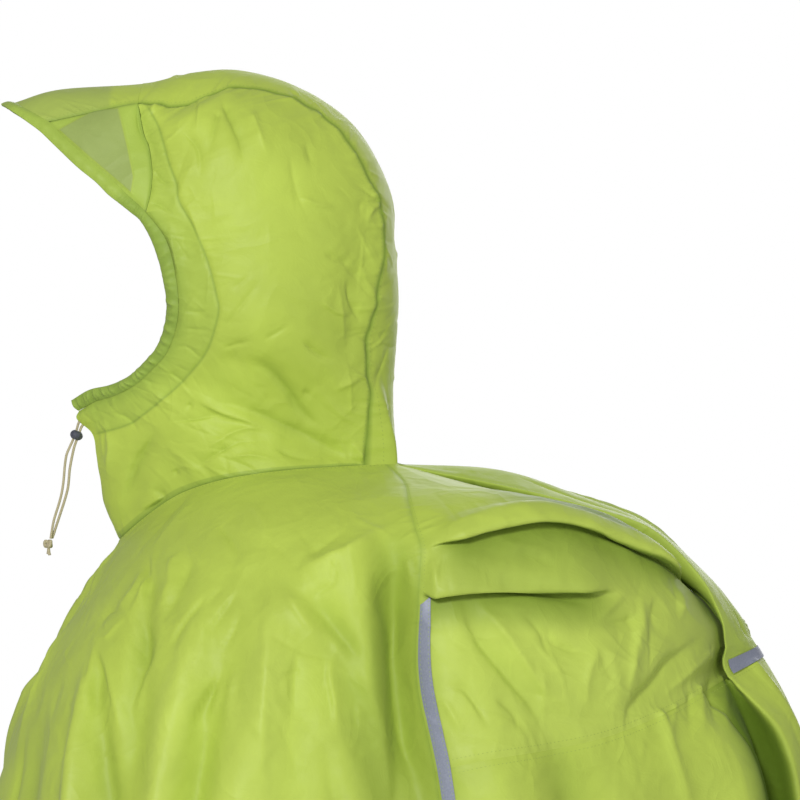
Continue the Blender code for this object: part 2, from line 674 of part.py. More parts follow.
def make_back_lower(cloth):
    """The wide panel below the back seam, with the box pleat falling open."""
    pleat = np.array(OPEN_PLEAT)
    half = np.concatenate(((SIDE_SEAM + HALF_GAP, *TAPE_EDGES, *SIDE_STEPS[:-1]), pleat[:, 1]))
    depth = np.concatenate((np.zeros(len(half) - len(pleat)), pleat[:, 2] * MM))
    drops = LOW_DROPS.copy()
    drops[0] += HALF_GAP
    opening = 0.6 + 0.9 * ease((drops - BACK_SEAM) / 0.1) - 0.7 * ease((drops - 0.5) / 0.5)
    sunk = opening[:, None] * np.concatenate((depth, depth[-2::-1]))[None, :]
    around = over_back(half)
    grid = body(around[None, :], drops[:, None], sunk)
    grid[:, 0] = seam_line(1, drops)
    grid[:, -1] = seam_line(-1, drops)
    out = outward(grid)
    out[:, 0] = plain_out(SIDE_SEAM, drops)
    out[:, -1] = plain_out(-SIDE_SEAM, drops)
    flat = np.abs(around) <= SIDE_STEPS[-1]
    out[0, flat] = plain_out(around[flat], BACK_SEAM)
    wall("back_lower", grid, out, CLOTH_WALL, cloth)


def make_tapes(tape):
    """Reflective tape down each side seam and across the foot of the box pleat's panel."""
    lift = SEAM_GAP + TAPE_WALL
    drops = np.concatenate((BACK_DROPS[BACK_DROPS > TAPE_TOP], LOW_DROPS[1:]))
    for name, side in (("left", 1), ("right", -1)):
        edges = np.array(TAPE_EDGES) * side
        grid = body(edges[None, :], drops[:, None], lift)
        wall(f"tape_{name}", grid, plain_out(edges[None, :], drops[:, None]), TAPE_WALL, tape)
    across, half = box_columns()
    half = half[across <= BOX_FLAT]
    around = over_back(half[:, 0])
    rows = np.array(BACK_TAPE)
    out = np.concatenate((half[:, 1], half[-2::-1, 1])) * MM + lift
    grid = body(around[None, :], rows[:, None], out[None, :])
    wall("tape_back", grid, plain_out(around[None, :], rows[:, None]), TAPE_WALL, tape)


def tunnel_out(stations):
    """Outward directions along the tunnel's seam line on the left side."""
    return outward(tunnel_grid(stations, np.array((0.0, 1.0))))[:, 0] * -1


def make_hood(cloth):
    lower = THROAT - 4 - np.linspace(4, 0, NECK_STEPS + 1)
    stations = np.concatenate(((0.15,), spread((0.5, 9.5), (18,)), lower))
    share = np.array((0.003, 0.05, 0.16, 0.34, 0.52, 0.7, 0.86, 0.998))
    mirror = np.array((-1, 1, 1))
    for name, side in (("left", 1), ("right", -1)):
        grid = hood_side_grid(stations, share, side)
        grid[-1, :, 0] = SEAM_GAP / 2
        out = outward(grid)
        out[-1, :, 0] = 0
        out[stations >= 5, 0] = tunnel_out(stations[stations >= 5] + 4)
        out[-1, 0, 0] = 0
        crown = stations <= NECK_END - ROOT
        out[crown, -1] = crown_out(stations[crown] + ROOT)
        turn = np.where(side > 0, 1, mirror)
        wall(f"hood_side_{name}", grid * turn, out * turn, CLOTH_WALL, cloth)
    crown_rows = spread((2.5, 11.5), (18,))
    crown_rows = np.concatenate(((ROOT + 0.01, ROOT + 0.15), crown_rows, (float(NECK_END),)))
    grid = centre_grid(crown_rows, CENTRE_ACROSS)
    out = outward(grid)
    out[:, 0] = crown_out(crown_rows)
    out[:, -1] = crown_out(crown_rows) * np.array((-1, 1, 1))
    wall("hood_centre", grid, out, CLOTH_WALL, cloth)


def make_brim(cloth):
    rows = np.array((0.02, 0.5, 1.0, 1.5, 1.99))
    grid = centre_grid(rows, CENTRE_ACROSS)
    out = outward(grid)
    out[:, 0] = crown_out(rows)
    out[:, -1] = crown_out(rows) * np.array((-1, 1, 1))
    wall("brim_centre", grid, out, DOUBLE_WALL, cloth)
    stations = np.concatenate(((0.3,), spread((0.5, 6.5), (12,)), (6.7,)))
    grid = brim_side_grid(stations, np.array((0.01, 0.25, 0.5, 0.75, 0.99)))
    out = outward(grid)
    out[:, 0] = tunnel_out(stations + ROOT)
    upper = stations <= ROOT
    out[upper, -1] = crown_out(stations[upper])
    both_sides("brim_side", grid, out, DOUBLE_WALL, cloth)


def make_tunnel(cloth):
    """The doubled band round the face opening, gathered on its cord below the cheeks."""
    half = np.concatenate((np.arange(0, 14, 0.5), 14 + np.linspace(0, 4, NECK_STEPS + 1)))
    stations = np.concatenate((half[::-1], -half[1:]))
    grid = tunnel_grid(stations, np.array((0.02, 0.5, 1.0)))
    out = outward(grid)
    crests = np.where((half >= 14) & (half < THROAT), (np.arange(len(half)) % 2) * 2 - 1, 0)
    crests = np.concatenate((crests[::-1], crests[1:]))
    puff = np.array((0.0, 1.0, 0.0)) * CASING_PUFF
    gather = crests[:, None] * np.array((0.0, 1.0, 0.6)) * GATHER_HEIGHT
    grid += out * (puff + gather)[:, :, None]
    grid[0, :, 0] = SEAM_GAP / 2
    grid[-1, :, 0] = -SEAM_GAP / 2
    out = outward(grid)
    out[[0, -1], :, 0] = 0
    wall("drawcord_tunnel", grid, out, DOUBLE_WALL, cloth)


def make_strand(name, route, cord):
    """One strand of the drawcord, a round tube through its route."""
    points = np.array(route, float) * MM
    smooth = through(np.arange(len(points)), points, np.linspace(0, len(points) - 1, CORD_STEPS))
    curve = bpy.data.curves.new(name, "CURVE")
    curve.dimensions = "3D"
    curve.bevel_depth = CORD_DIAMETER / 2
    curve.bevel_resolution = CORD_SIDES
    curve.use_fill_caps = True
    line = curve.splines.new("POLY")
    line.points.add(len(smooth) - 1)
    for point, place in zip(line.points, smooth):
        point.co = (*place, 1)
    curve.materials.append(cord)
    item = bpy.data.objects.new(name, curve)
    bpy.context.scene.collection.objects.link(item)


def ring(radius_x, radius_y, height):
    """A level ring of points round the vertical axis."""
    turn = np.arange(RING_SIDES) * 2 * math.pi / RING_SIDES
    return np.stack((radius_x * np.cos(turn), radius_y * np.sin(turn), np.full(RING_SIDES, height)), axis=1)


def joined_rings(count):
    """Faces between rings in turn, and from the last ring to the first one."""
    faces = []
    for here, there in zip(range(count), (*range(1, count), 0)):
        for side in range(RING_SIDES):
            ahead = (side + 1) % RING_SIDES
            low, high = here * RING_SIDES, there * RING_SIDES
            faces.append((low + side, low + ahead, high + ahead, high + side))
    return faces


def make_lock(plastic):
    """The cord lock, a ball with a slot down its middle."""
    turns = np.linspace(LOCK_RIM, -LOCK_RIM, 6)
    rings = [ring(*LOCK_SLOT, LOCK_HALF_HEIGHT * LOCK_RIM)]
    for height in turns:
        radius = LOCK_RADIUS * math.sqrt(1 - height**2)
        rings.append(ring(radius, radius, LOCK_HALF_HEIGHT * height))
    rings.append(ring(*LOCK_SLOT, -LOCK_HALF_HEIGHT * LOCK_RIM))
    points = np.concatenate(rings)
    tilted = points.copy()
    tilted[:, 1] = points[:, 1] * math.cos(LOCK_TILT) + points[:, 2] * math.sin(LOCK_TILT)
    tilted[:, 2] = points[:, 2] * math.cos(LOCK_TILT) - points[:, 1] * math.sin(LOCK_TILT)
    add_object("cord_lock", tilted + LOCK_PLACE, joined_rings(len(rings)), plastic)


def make_knot(cord):
    rings = [ring(radius * MM * KNOT_DEPTH, radius * MM, height * MM) for radius, height in KNOT_PROFILE]
    faces = joined_rings(len(rings))[: (len(rings) - 1) * RING_SIDES]
    last = (len(rings) - 1) * RING_SIDES
    faces += [tuple(range(RING_SIDES)), tuple(range(last, last + RING_SIDES))]
    add_object("cord_knot", np.concatenate(rings) + KNOT_PLACE, faces, cord)


def build():
    for item in list(bpy.data.objects):
        bpy.data.objects.remove(item)
    cloth = material("lime_nylon", (0.42, 0.56, 0.09), 0.38)
    tape = material("reflective_tape", (0.27, 0.29, 0.37), 0.45, 0.2)
    cord = material("cream_cord", (0.50, 0.45, 0.28), 0.8)
    plastic = material("slate_plastic", (0.06, 0.065, 0.09), 0.4)
    make_front(cloth)
    make_back_sides(cloth)
    make_back_centre(cloth)
    make_back_lower(cloth)
    make_tapes(tape)
    make_hood(cloth)
    make_brim(cloth)
    make_tunnel(cloth)
    make_strand("drawcord_left", LEFT_STRAND, cord)
    make_strand("drawcord_right", RIGHT_STRAND, cord)
    make_lock(plastic)
    make_knot(cord)


build()
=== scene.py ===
"""The looks of a hiker's rain poncho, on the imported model.

The cloth is drawn again as fine thin shells on the forms of the solids, from the same sizes, with
its creases, puckers, hems and sewing. The front faces -Y, the wearer's left is +X and up is +Z.
Tables are in millimetres, and everything else is in metres.
"""

import math

import bpy
import numpy as np
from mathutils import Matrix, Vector
from mathutils.bvhtree import BVHTree


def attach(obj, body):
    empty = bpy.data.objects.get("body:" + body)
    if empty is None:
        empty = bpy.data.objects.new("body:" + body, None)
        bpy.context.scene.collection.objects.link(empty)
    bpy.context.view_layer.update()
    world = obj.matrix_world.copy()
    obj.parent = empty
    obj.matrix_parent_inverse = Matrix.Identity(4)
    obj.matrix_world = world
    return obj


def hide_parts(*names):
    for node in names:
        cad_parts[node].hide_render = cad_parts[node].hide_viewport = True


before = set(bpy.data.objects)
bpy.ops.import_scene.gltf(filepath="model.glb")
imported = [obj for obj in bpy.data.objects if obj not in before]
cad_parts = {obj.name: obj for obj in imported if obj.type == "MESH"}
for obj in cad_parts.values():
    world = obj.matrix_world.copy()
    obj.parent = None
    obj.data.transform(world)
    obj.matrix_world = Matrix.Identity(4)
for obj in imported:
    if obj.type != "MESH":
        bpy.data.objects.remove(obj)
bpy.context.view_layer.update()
MM = 0.001

SIDES = (("left", 1), ("right", -1))
MIRROR = np.array((-1, 1, 1))

# The garment's round, as a share of the half round from front centre to back centre
QUARTER = 0.23
SIDE = 0.45
HOOD_CORNER = 0.55
SIDE_SEAM = 0.59
PACK_SIDE = 0.73
PLEAT_EDGE = 0.93
TAPE_EDGES = (0.5915, 0.6015)

# The garment's drop, as a share of the way from the neck seam to the hem
BACK_SEAM = 0.37
BACK_TAPE = (0.340, 0.3692)
TAPE_TOP = 0.232

# The body's form down seven lines, left side: x, y and z at each of these drops. The lines over the
# rucksack have one place more, under the cross seam.
DROPS = (0.0, 0.05, 0.10, 0.15, 0.19, 0.23, 0.30, 0.37, 0.50, 0.65, 0.80, 1.0)
PACK_DROPS = DROPS[:8] + (0.43,) + DROPS[8:]
GUIDES = {
    0.0: (  # front centre
        (0, -132, -64), (0, -148, -90), (0, -163, -115), (0, -181, -142), (0, -193, -163),
        (0, -204, -186), (0, -220, -226), (0, -233, -272), (0, -248, -385), (0, -258, -545),
        (0, -264, -735), (0, -270, -1000),
    ),
    QUARTER: (  # chest
        (61, -74, -22), (92, -96, -51), (126, -112, -82), (155, -126, -114), (172, -136, -143),
        (185, -145, -175), (201, -159, -232), (213, -171, -295), (229, -188, -420), (244, -201, -585),
        (257, -210, -762), (272, -220, -1000),
    ),
    SIDE: (  # over the shoulder
        (85, 10, -4), (130, 8, -18), (174, 10, -40), (212, 14, -72), (234, 18, -105), (247, 20, -143),
        (261, 21, -208), (273, 21, -276), (292, 20, -415), (312, 16, -585), (332, 10, -762),
        (358, 2, -1000),
    ),
    SIDE_SEAM: (
        (48, 96, 1), (107, 109, -13), (164, 113, -27), (206, 118, -44), (229, 124, -64),
        (243, 124, -105), (256, 125, -168), (266, 139, -242), (288, 157, -390), (310, 169, -565),
        (332, 176, -750), (360, 182, -998),
    ),
    PACK_SIDE: (  # side of the rucksack
        (34, 101, 1), (110, 148, -14), (152, 184, -20), (176, 207, -28), (187, 221, -40),
        (197, 240, -104), (203, 256, -165), (206, 266, -222), (210, 276, -375), (214, 280, -555),
        (224, 276, -742), (250, 268, -995),
    ),
    PLEAT_EDGE: (  # edge of the box pleat
        (20, 103, 1), (45, 190, -16), (52, 258, -33), (55, 321, -56), (58, 359, -94), (59, 374, -121),
        (60, 381, -151), (61, 383, -177), (63, 426, -222), (66, 445, -290), (72, 462, -470),
        (80, 452, -700), (95, 425, -988),
    ),
    1.0: (  # back centre
        (0, 104, 1), (0, 190, -4), (0, 259, -26), (0, 322, -53), (0, 368, -94), (0, 391, -121),
        (0, 405, -147), (0, 415, -163), (0, 440, -210), (0, 460, -285), (0, 482, -465), (0, 472, -700),
        (0, 446, -990),
    ),
}


def through(knots, rows, at):
    """A smooth curve through rows, one row for each knot, read at each place."""
    knots = np.asarray(knots, float)
    rows = np.asarray(rows, float)
    at = np.atleast_1d(np.asarray(at, float))
    shape = (-1,) + (1,) * (rows.ndim - 1)
    steps = np.diff(knots).reshape(shape)
    slopes = np.diff(rows, axis=0) / steps
    tangents = np.empty_like(rows)
    tangents[1:-1] = (slopes[:-1] * steps[1:] + slopes[1:] * steps[:-1]) / (steps[:-1] + steps[1:])
    tangents[0] = slopes[0]
    tangents[-1] = slopes[-1]
    cell = np.clip(np.searchsorted(knots, at, side="right") - 1, 0, len(knots) - 2)
    span = knots[cell + 1] - knots[cell]
    t = (at - knots[cell]) / span
    weights = (
        2 * t**3 - 3 * t**2 + 1,
        (t**3 - 2 * t**2 + t) * span,
        3 * t**2 - 2 * t**3,
        (t**3 - t**2) * span,
    )
    if rows.ndim == 3:
        each = np.arange(len(at))
        parts = (rows[cell, each], tangents[cell, each], rows[cell + 1, each], tangents[cell + 1, each])
    else:
        parts = (rows[cell], tangents[cell], rows[cell + 1], tangents[cell + 1])
    return sum(weight[:, None] * part for weight, part in zip(weights, parts))


def read(table, at, unit=1):
    """A table's later columns, read along its first."""
    table = np.array(table, float)
    return through(table[:, 0], table[:, 1:] * unit, at)


def plain_body(around, drop):
    """The smooth form of the body. around runs from -1 to 1, 0 at front centre and 1 at back centre."""
    around = np.asarray(around, float).ravel()
    drop = np.asarray(drop, float).ravel()
    places = sorted(GUIDES)
    lines = []
    for place in places:
        table = np.array(GUIDES[place], float) * MM
        lines.append(through(DROPS if len(table) == len(DROPS) else PACK_DROPS, table, drop))
    knots = [-places[1]] + places + [2 - places[-2]]
    lines = [lines[1] * MIRROR] + lines + [lines[-2] * MIRROR]
    points = through(knots, np.stack(lines), np.abs(around))
    points[:, 0] *= np.where(around < 0, -1, 1)
    return points


# Long soft folds that start below the shoulders and run to the hem. They keep to three places
# round the body: where they start, at the knee of the drape, and at the hem.
KNEE = 0.29
KNEE_BELOW = 0.08
FOLD_GROWS = 0.16
FOLD_WIDENS = 0.7
# Each row: start drop, start, knee, hem, width, hem width, rise
FOLDS = (
    # wearer's left, front centre to side seam
    (0.300, 0.050, 0.050, 0.055, 30, 42, 9),
    (0.200, 0.120, 0.140, 0.145, 26, 40, -11),
    (0.176, 0.200, 0.232, 0.225, 12, 30, 13),
    (0.185, 0.214, 0.262, 0.268, 12, 30, -12),
    (0.060, 0.262, 0.302, 0.312, 13, 30, -9),
    (0.130, 0.362, 0.334, 0.350, 20, 34, 15),
    (0.210, 0.376, 0.366, 0.388, 13, 30, -15),
    (0.160, 0.446, 0.412, 0.430, 28, 40, 15),
    (0.170, 0.462, 0.515, 0.492, 24, 38, -17),
    (0.230, 0.520, 0.543, 0.538, 14, 26, 10),
    (0.085, 0.546, 0.561, 0.565, 21, 30, -20),
    (0.080, 0.576, 0.581, 0.582, 34, 30, -10),
    # wearer's left, side seam to box pleat
    (0.300, 0.632, 0.640, 0.642, 22, 34, 12),
    (0.280, 0.662, 0.690, 0.700, 20, 34, -14),
    (0.380, 0.750, 0.752, 0.762, 28, 38, 13),
    (0.360, 0.812, 0.812, 0.822, 24, 34, -12),
    # wearer's right, front centre to side seam
    (0.260, -0.060, -0.070, -0.075, 24, 38, -10),
    (0.190, -0.130, -0.150, -0.155, 22, 40, 12),
    (0.170, -0.215, -0.238, -0.240, 14, 32, -13),
    (0.120, -0.285, -0.300, -0.310, 18, 32, 11),
    (0.150, -0.372, -0.358, -0.366, 18, 32, -15),
    (0.170, -0.440, -0.420, -0.440, 26, 40, 16),
    (0.180, -0.470, -0.500, -0.498, 22, 36, -14),
    (0.095, -0.552, -0.560, -0.562, 22, 30, -17),
    (0.090, -0.578, -0.580, -0.582, 32, 30, -9),
    # wearer's right, side seam to box pleat
    (0.300, -0.640, -0.650, -0.655, 22, 36, 11),
    (0.280, -0.680, -0.712, -0.716, 22, 34, -13),
    (0.370, -0.775, -0.780, -0.790, 28, 38, 12),
    (0.380, -0.840, -0.840, -0.838, 20, 30, -9),
)

# Pleats across the sides of the rucksack: the cloth above hangs over the cloth below.
# Each row: side, drop, from, grown, to, height, overhang
PLEATS = (
    (1, 0.187, 0.591, 0.640, 0.915, 10, 13),
    (1, 0.221, 0.591, 0.605, 0.800, 9, 12),
    (-1, 0.174, 0.600, 0.640, 0.910, 8, 9),
    (-1, 0.224, 0.591, 0.607, 0.780, 9, 10),
)
PLEAT_WIDTH = 0.018
PLEAT_FADE = 0.055
# Each row: place, out, down
LIP = (
    (-3.2, 0.0, 0.0), (-2.4, 0.02, 0.0), (-0.9, 0.4, 0.05), (-0.3, 0.85, 0.35), (0.0, 1.0, 1.0),
    (0.15, 0.6, 0.75), (0.35, -0.15, -0.2), (0.8, -0.25, -0.35), (1.6, -0.02, 0.0), (2.4, 0.0, 0.0),
)

# The box pleat down the middle of the back. Its panel turns under at each edge, and the side
# panels run on beneath it to the same seam.
BOX_FLAT = 0.75
# Each row: across, around, out, valley out
BOX_PANEL = (
    (0.00, 1.000, 0.0, 0.0), (0.45, 0.962, 0.0, 0.0), (BOX_FLAT, 0.936, 0.0, 0.0),
    (0.84, 0.930, -1.2, 0.0), (0.91, 0.935, -5.0, -10.5), (1.00, 0.947, -7.4, -12.0),
)
# Each row: around, out, valley out
UNDER_TURN = (
    (0.59, 0.0, 0.0), (0.80, 0.0, 0.0), (0.86, 0.0, -0.6), (0.88, -1.8, -5.0), (0.90, -4.0, -10.0),
    (0.93, -8.6, -12.0), (0.947, -9.1, -12.0),
)
# Above the first cross pleat the side panels sink deeper beside the box pleat, as a long dark valley.
# Each row: drop, depth
VALLEY = (
    (0.0, 0.0), (0.035, 0.1), (0.075, 0.5), (0.115, 0.85), (0.15, 1.0), (0.175, 0.85),
    (0.205, 0.3), (0.24, 0.0), (BACK_SEAM, 0.0),
)
# Below the cross seam the box pleat falls open, from here to back centre.
OPEN_FROM = 0.86
# Each row: step, around, out
OPEN_PLEAT = (
    (OPEN_FROM, 0.860, 0.0), (0.885, 0.890, -6.0), (0.905, 0.915, -16.0), (0.92, 0.930, -21.0),
    (0.935, 0.934, -12.0), (0.948, 0.930, -2.0), (0.963, 0.941, 0.0), (0.98, 0.970, 0.0),
    (1.0, 1.0, 0.0),
)


def ease(x):
    x = np.clip(x, 0, 1)
    return x * x * (3 - 2 * x)


def bell(x):
    return np.exp(-(x**2))


def fade_in(x, start, run):
    """0 up to start, growing smoothly to 1 over the run."""
    return ease((x - start) / run)


def noise(x, y, seed):
    """Smooth noise between about -0.7 and 0.7, with cells one unit wide."""
    turns = np.random.default_rng(seed).uniform(0, 2 * math.pi, (64, 64))
    cell_x = np.floor(x).astype(int)
    cell_y = np.floor(y).astype(int)
    part_x = x - cell_x
    part_y = y - cell_y
    corner = {}
    for step_x in (0, 1):
        for step_y in (0, 1):
            turn = turns[(cell_x + step_x) % 64, (cell_y + step_y) % 64]
            corner[step_x, step_y] = np.cos(turn) * (part_x - step_x) + np.sin(turn) * (part_y - step_y)
    low = corner[0, 0] + (corner[1, 0] - corner[0, 0]) * ease(part_x)
    high = corner[0, 1] + (corner[1, 1] - corner[0, 1]) * ease(part_x)
    return low + (high - low) * ease(part_y)


def directions(around, drop):
    """The plain body's outward and downward directions at each place."""
    step = 0.002
    right = plain_body(around + step, drop) - plain_body(around - step, drop)
    low = np.minimum(drop + step, 1)
    high = np.maximum(drop - step, 0)
    down = plain_body(around, low) - plain_body(around, high)
    out = np.cross(down, right)
    down /= np.linalg.norm(down, axis=1)[:, None]
    out /= np.linalg.norm(out, axis=1)[:, None]
    return out, down


def fold_height(around, drop):
    """How far the long folds stand out at each place."""
    height = np.zeros_like(drop)
    for start_drop, start, knee, hem, width, hem_width, rise in FOLDS:
        knots = (start_drop, max(KNEE, start_drop + KNEE_BELOW), 1.0)
        line = through(knots, np.array(((start,), (knee,), (hem,))), np.maximum(drop, start_drop))[:, 0]
        grown = ease((drop - start_drop) / FOLD_GROWS)
        wide = (width + (hem_width - width) * ease((drop - start_drop) / FOLD_WIDENS)) * MM
        height += rise * MM * grown * bell((around - line) / wide)
    return height


def pleat_share(around, first, grown, last):
    """How much of a cross pleat there is round the body."""
    return fade_in(around, first, grown - first) * ease((last - around) / PLEAT_FADE)


def pleat_shift(around, drop):
    """How far the cross pleats push the cloth out and down at each place."""
    out = np.zeros_like(drop)
    down = np.zeros_like(drop)
    for side, line, first, grown, last, height, overhang in PLEATS:
        there = pleat_share(around * side, first, grown, last)
        place = np.clip((drop - line) / PLEAT_WIDTH, LIP[0][0], LIP[-1][0])
        shape = read(LIP, place)
        out += there * height * MM * shape[:, 0]
        down += there * overhang * MM * shape[:, 1]
    return out, down


def body(around, drop, extra=0.0):
    """The outer face of the body's cloth, with its folds and pleats, moved out by extra."""
    around, drop = np.broadcast_arrays(np.asarray(around, float), np.asarray(drop, float))
    shape = around.shape
    around = around.ravel()
    drop = drop.ravel()
    extra = np.broadcast_to(extra, shape).ravel()
    out, down = directions(around, drop)
    pleat_out, pleat_down = pleat_shift(around, drop)
    away = (fold_height(around, drop) + pleat_out + extra)[:, None]
    points = plain_body(around, drop) + out * away + down * pleat_down[:, None]
    return points.reshape(shape + (3,))


# The hood. A row for each station: the crest on the centre line, and the centre panel's left seam.
ROOT = 2
NECK_END = 12
# Each row: crest y, crest z, seam x, seam y, seam z
CREST = (
    (-221, 308, 46, -190, 290),  # front of the brim
    (-183, 319, 50, -151, 298),
    (-112, 324, 55, -114, 305),  # root of the brim
    (-72, 333, 56, -77, 302),
    (-27, 335, 50, -33, 318),
    (26, 318, 50, 22, 307),
    (71, 284, 52, 58, 279),
    (99, 229, 52, 86, 231),
    (102, 187, 52, 94, 190),
    (105, 140, 56, 86, 135),
    (103, 102, 58, 78, 101),
    (100, 55, 58, 81, 57),
    (103, 2, 66, 76, -1),  # neck seam
)

# The root of the brim, down the left side from the centre panel to the drawcord tunnel.
# Each row: x, y, z
ROOT_LINE = (
    (55, -114, 305), (66, -109, 280), (74, -104, 267),
    (82, -101, 247), (87, -102, 229), (90, -106, 212),
)

# The face opening, from the middle of the brim down the left side to the throat: its rim, and
# the seam line where the drawcord tunnel meets the hood.
TEMPLE = 9
THROAT = 18
SIDE_ROOT = 4  # the sides' stations run this far behind the opening's
CHEEK = 8  # the side's station where its section changes from the crown's to the throat's
NECK_BLEND = 1.5  # stations over which the hood settles onto the neck ring
# Each row: rim x, rim y, rim z, line x, line y, line z
FACE = (
    (0, -233, 307, 0, -221, 308),
    (26, -224, 301, 25, -213, 303),
    (47, -199, 283, 46, -190, 290),  # the centre panel's seam
    (56, -185, 270, 55, -178, 278),
    (68, -165, 251, 68, -158, 260),
    (75, -149, 238, 75, -142, 246),
    (80, -138, 227, 80, -131, 236),
    (83, -129, 220, 84, -122, 227),
    (86, -119, 212, 87, -113, 219),
    (88, -110, 204, 90, -106, 212),  # temple
    (88, -100, 185, 93, -89, 189),
    (88, -92, 158, 94, -81, 159),
    (84, -89, 129, 91, -79, 126),
    (73, -96, 103, 78, -88, 97),  # cheek
    (58, -109, 87, 62, -103, 80),
    (44, -123, 75, 48, -117, 68),
    (28, -139, 68, 30, -135, 59),
    (13, -157, 64, 14, -152, 54),
    (0, -173, 55, 0, -167, 46),  # throat
)
# The throat's edge below the tunnel, forward of a straight line to the neck seam.
# Each row: share, forward
THROAT_EDGE = (
    (0.0, 0.0), (0.05, 3.6), (0.16, -5.0), (0.34, -3.8),
    (0.52, -0.6), (0.70, 2.9), (0.86, 2.1), (1.0, 0.0),
)

# Soft folds of the hood's sides, as seen from the side, from one end to the other
# Each row: side, y, z, end y, end z, width, rise
SIDE_FOLDS = (
    (1, -72, 62, 2, 28, 9, 3.5),
    (1, -46, 44, 50, 10, 10, -3.5),
    (1, -30, 90, 24, 36, 10, -3.0),
    (1, -116, -22, -126, -50, 8, -3.0),
    (1, 62, 100, 76, 180, 12, -3.0),
    (-1, -66, 70, 10, 34, 10, 3.5),
    (-1, -50, 36, 40, 14, 11, -4.0),
    (-1, -24, 104, 30, 50, 11, -2.5),
    (-1, -108, -14, -122, -46, 9, -3.0),
    (-1, 58, 70, 78, 150, 13, -3.5),
)
WAVER_SEED = 51
SEAM_WAVES = 2.6
SEAM_WAVER = 3.2 * MM
CROWN_ARCH = math.radians(50)
FULL_BULGE = 160 * MM  # panels as wide as this bulge in full
HOOD_BULGE = 22 * MM
THROAT_BULGE = 9 * MM
BRIM_BULGE = 3 * MM
CASING_PUFF = 1.6 * MM
GATHER_HEIGHT = 1.7 * MM

# The drawcord's two strands, from the throat through the cord lock to the knot
CORD_DIAMETER = 2.3 * MM
# Each row: x, y, z
LEFT_STRAND = (
    (1.4, -166.3, 37.0), (0.6, -167.5, 34.0), (0.1, -168.4, 30.6), (0.0, -170.1, 25.9),
    (0.0, -171.8, 21.2), (0.0, -174.6, 15.0), (0.0, -177.1, 9.1), (0.0, -178.3, 2.2),
    (0.0, -179.0, -4.6), (0.0, -179.6, -12.0), (0.1, -180.5, -19.2), (0.2, -181.9, -26.5),
    (0.3, -183.9, -33.8), (0.5, -186.0, -40.4), (0.8, -187.8, -46.5), (1.1, -189.0, -52.4),
    (1.3, -189.9, -58.2), (1.3, -190.6, -62.6),
)
RIGHT_STRAND = (
    (-1.4, -163.4, 34.0), (-0.6, -164.7, 32.0), (-0.1, -165.6, 29.6), (0.0, -167.3, 24.9),
    (0.0, -169.0, 20.2), (0.0, -170.8, 14.8), (0.0, -172.1, 9.1), (0.0, -173.5, 2.2),
    (0.0, -174.6, -4.6), (0.0, -175.2, -12.0), (-0.1, -176.0, -19.2), (-0.2, -177.8, -26.5),
    (-0.3, -180.0, -33.8), (-0.5, -182.2, -40.4), (-0.8, -184.2, -46.5), (-1.1, -186.2, -52.4),
    (-1.3, -188.0, -58.2), (-1.3, -189.6, -62.4),
)


def row_curve(table, first, last, at):
    """A table's columns in metres, read at station numbers."""
    rows = np.array(table, float)[:, first:last] * MM
    return through(np.arange(len(rows)), rows, at)


def centre_line(at):
    points = np.zeros((len(at), 3))
    points[:, 1:] = row_curve(CREST, 0, 2, at)
    return points


def crown_seam(at):
    """The seam beside the centre panel, which wavers a little behind the brim."""
    line = row_curve(CREST, 2, 5, at)
    waver = noise(at * SEAM_WAVES, np.zeros(len(at)), WAVER_SEED) * SEAM_WAVER
    line[:, 1:] += (waver * ease((at - ROOT) / 0.5) * ease(NECK_END - at))[:, None]
    return line


def arch(crest, seam, across):
    """Points over the crest on an arc from the left seam, 1 across, to the right seam, -1 across."""
    turn = across * CROWN_ARCH
    points = crest + (seam - crest) * ((1 - np.cos(turn)) / (1 - math.cos(CROWN_ARCH)))[:, None]
    points[:, 0] = seam[:, 0] * np.sin(turn) / math.sin(CROWN_ARCH)
    return points


def brim_root(at):
    return row_curve(ROOT_LINE, 0, 3, at)


def face_rim(at):
    return row_curve(FACE, 0, 3, at)


def tunnel_line(at):
    start = np.zeros(len(at))
    over_brim = arch(centre_line(start), crown_seam(start), np.minimum(at / ROOT, 1))
    return np.where((at < ROOT)[:, None], over_brim, row_curve(FACE, 3, 6, at))


def neck_ring(around):
    """The hood's lower edge, on the body's."""
    return body(around, np.zeros_like(around))


def between(start, end, share):
    return start[:, None, :] * (1 - share)[None, :, None] + end[:, None, :] * share[None, :, None]


def centre_grid(stations, across):
    """The centre panel's outer face: a row for each station, across from the left seam to the right."""
    crest = centre_line(stations)
    seam = crown_seam(stations)
    grid = np.stack([arch(crest, seam, np.full(len(stations), place)) for place in across], axis=1)
    settle = ease((stations - (NECK_END - NECK_BLEND)) / NECK_BLEND)
    neck = neck_ring(np.sign(across) * (1 - (1 - HOOD_CORNER) * np.abs(across)))
    neck[across == 0] = neck_ring(np.array((1.0,)))
    end = np.full(len(across), float(NECK_END))
    last = arch(centre_line(end), crown_seam(end), across)
    return grid + settle[:, None, None] * (neck - last)[None]


def side_folds(grid, side):
    """How far the folds of one side of the hood stand out at each point."""
    height = np.zeros(grid.shape[:2])
    for which, y, z, end_y, end_z, width, rise in SIDE_FOLDS:
        if which == side:
            start = np.array((y, z)) * MM
            run = np.array((end_y, end_z)) * MM - start
            there = grid[:, :, 1:] - start
            along = np.clip(there @ run / (run @ run), 0, 1)
            away = np.linalg.norm(there - along[:, :, None] * run, axis=2)
            height += rise * MM * bell(away / (width * MM))
    return height


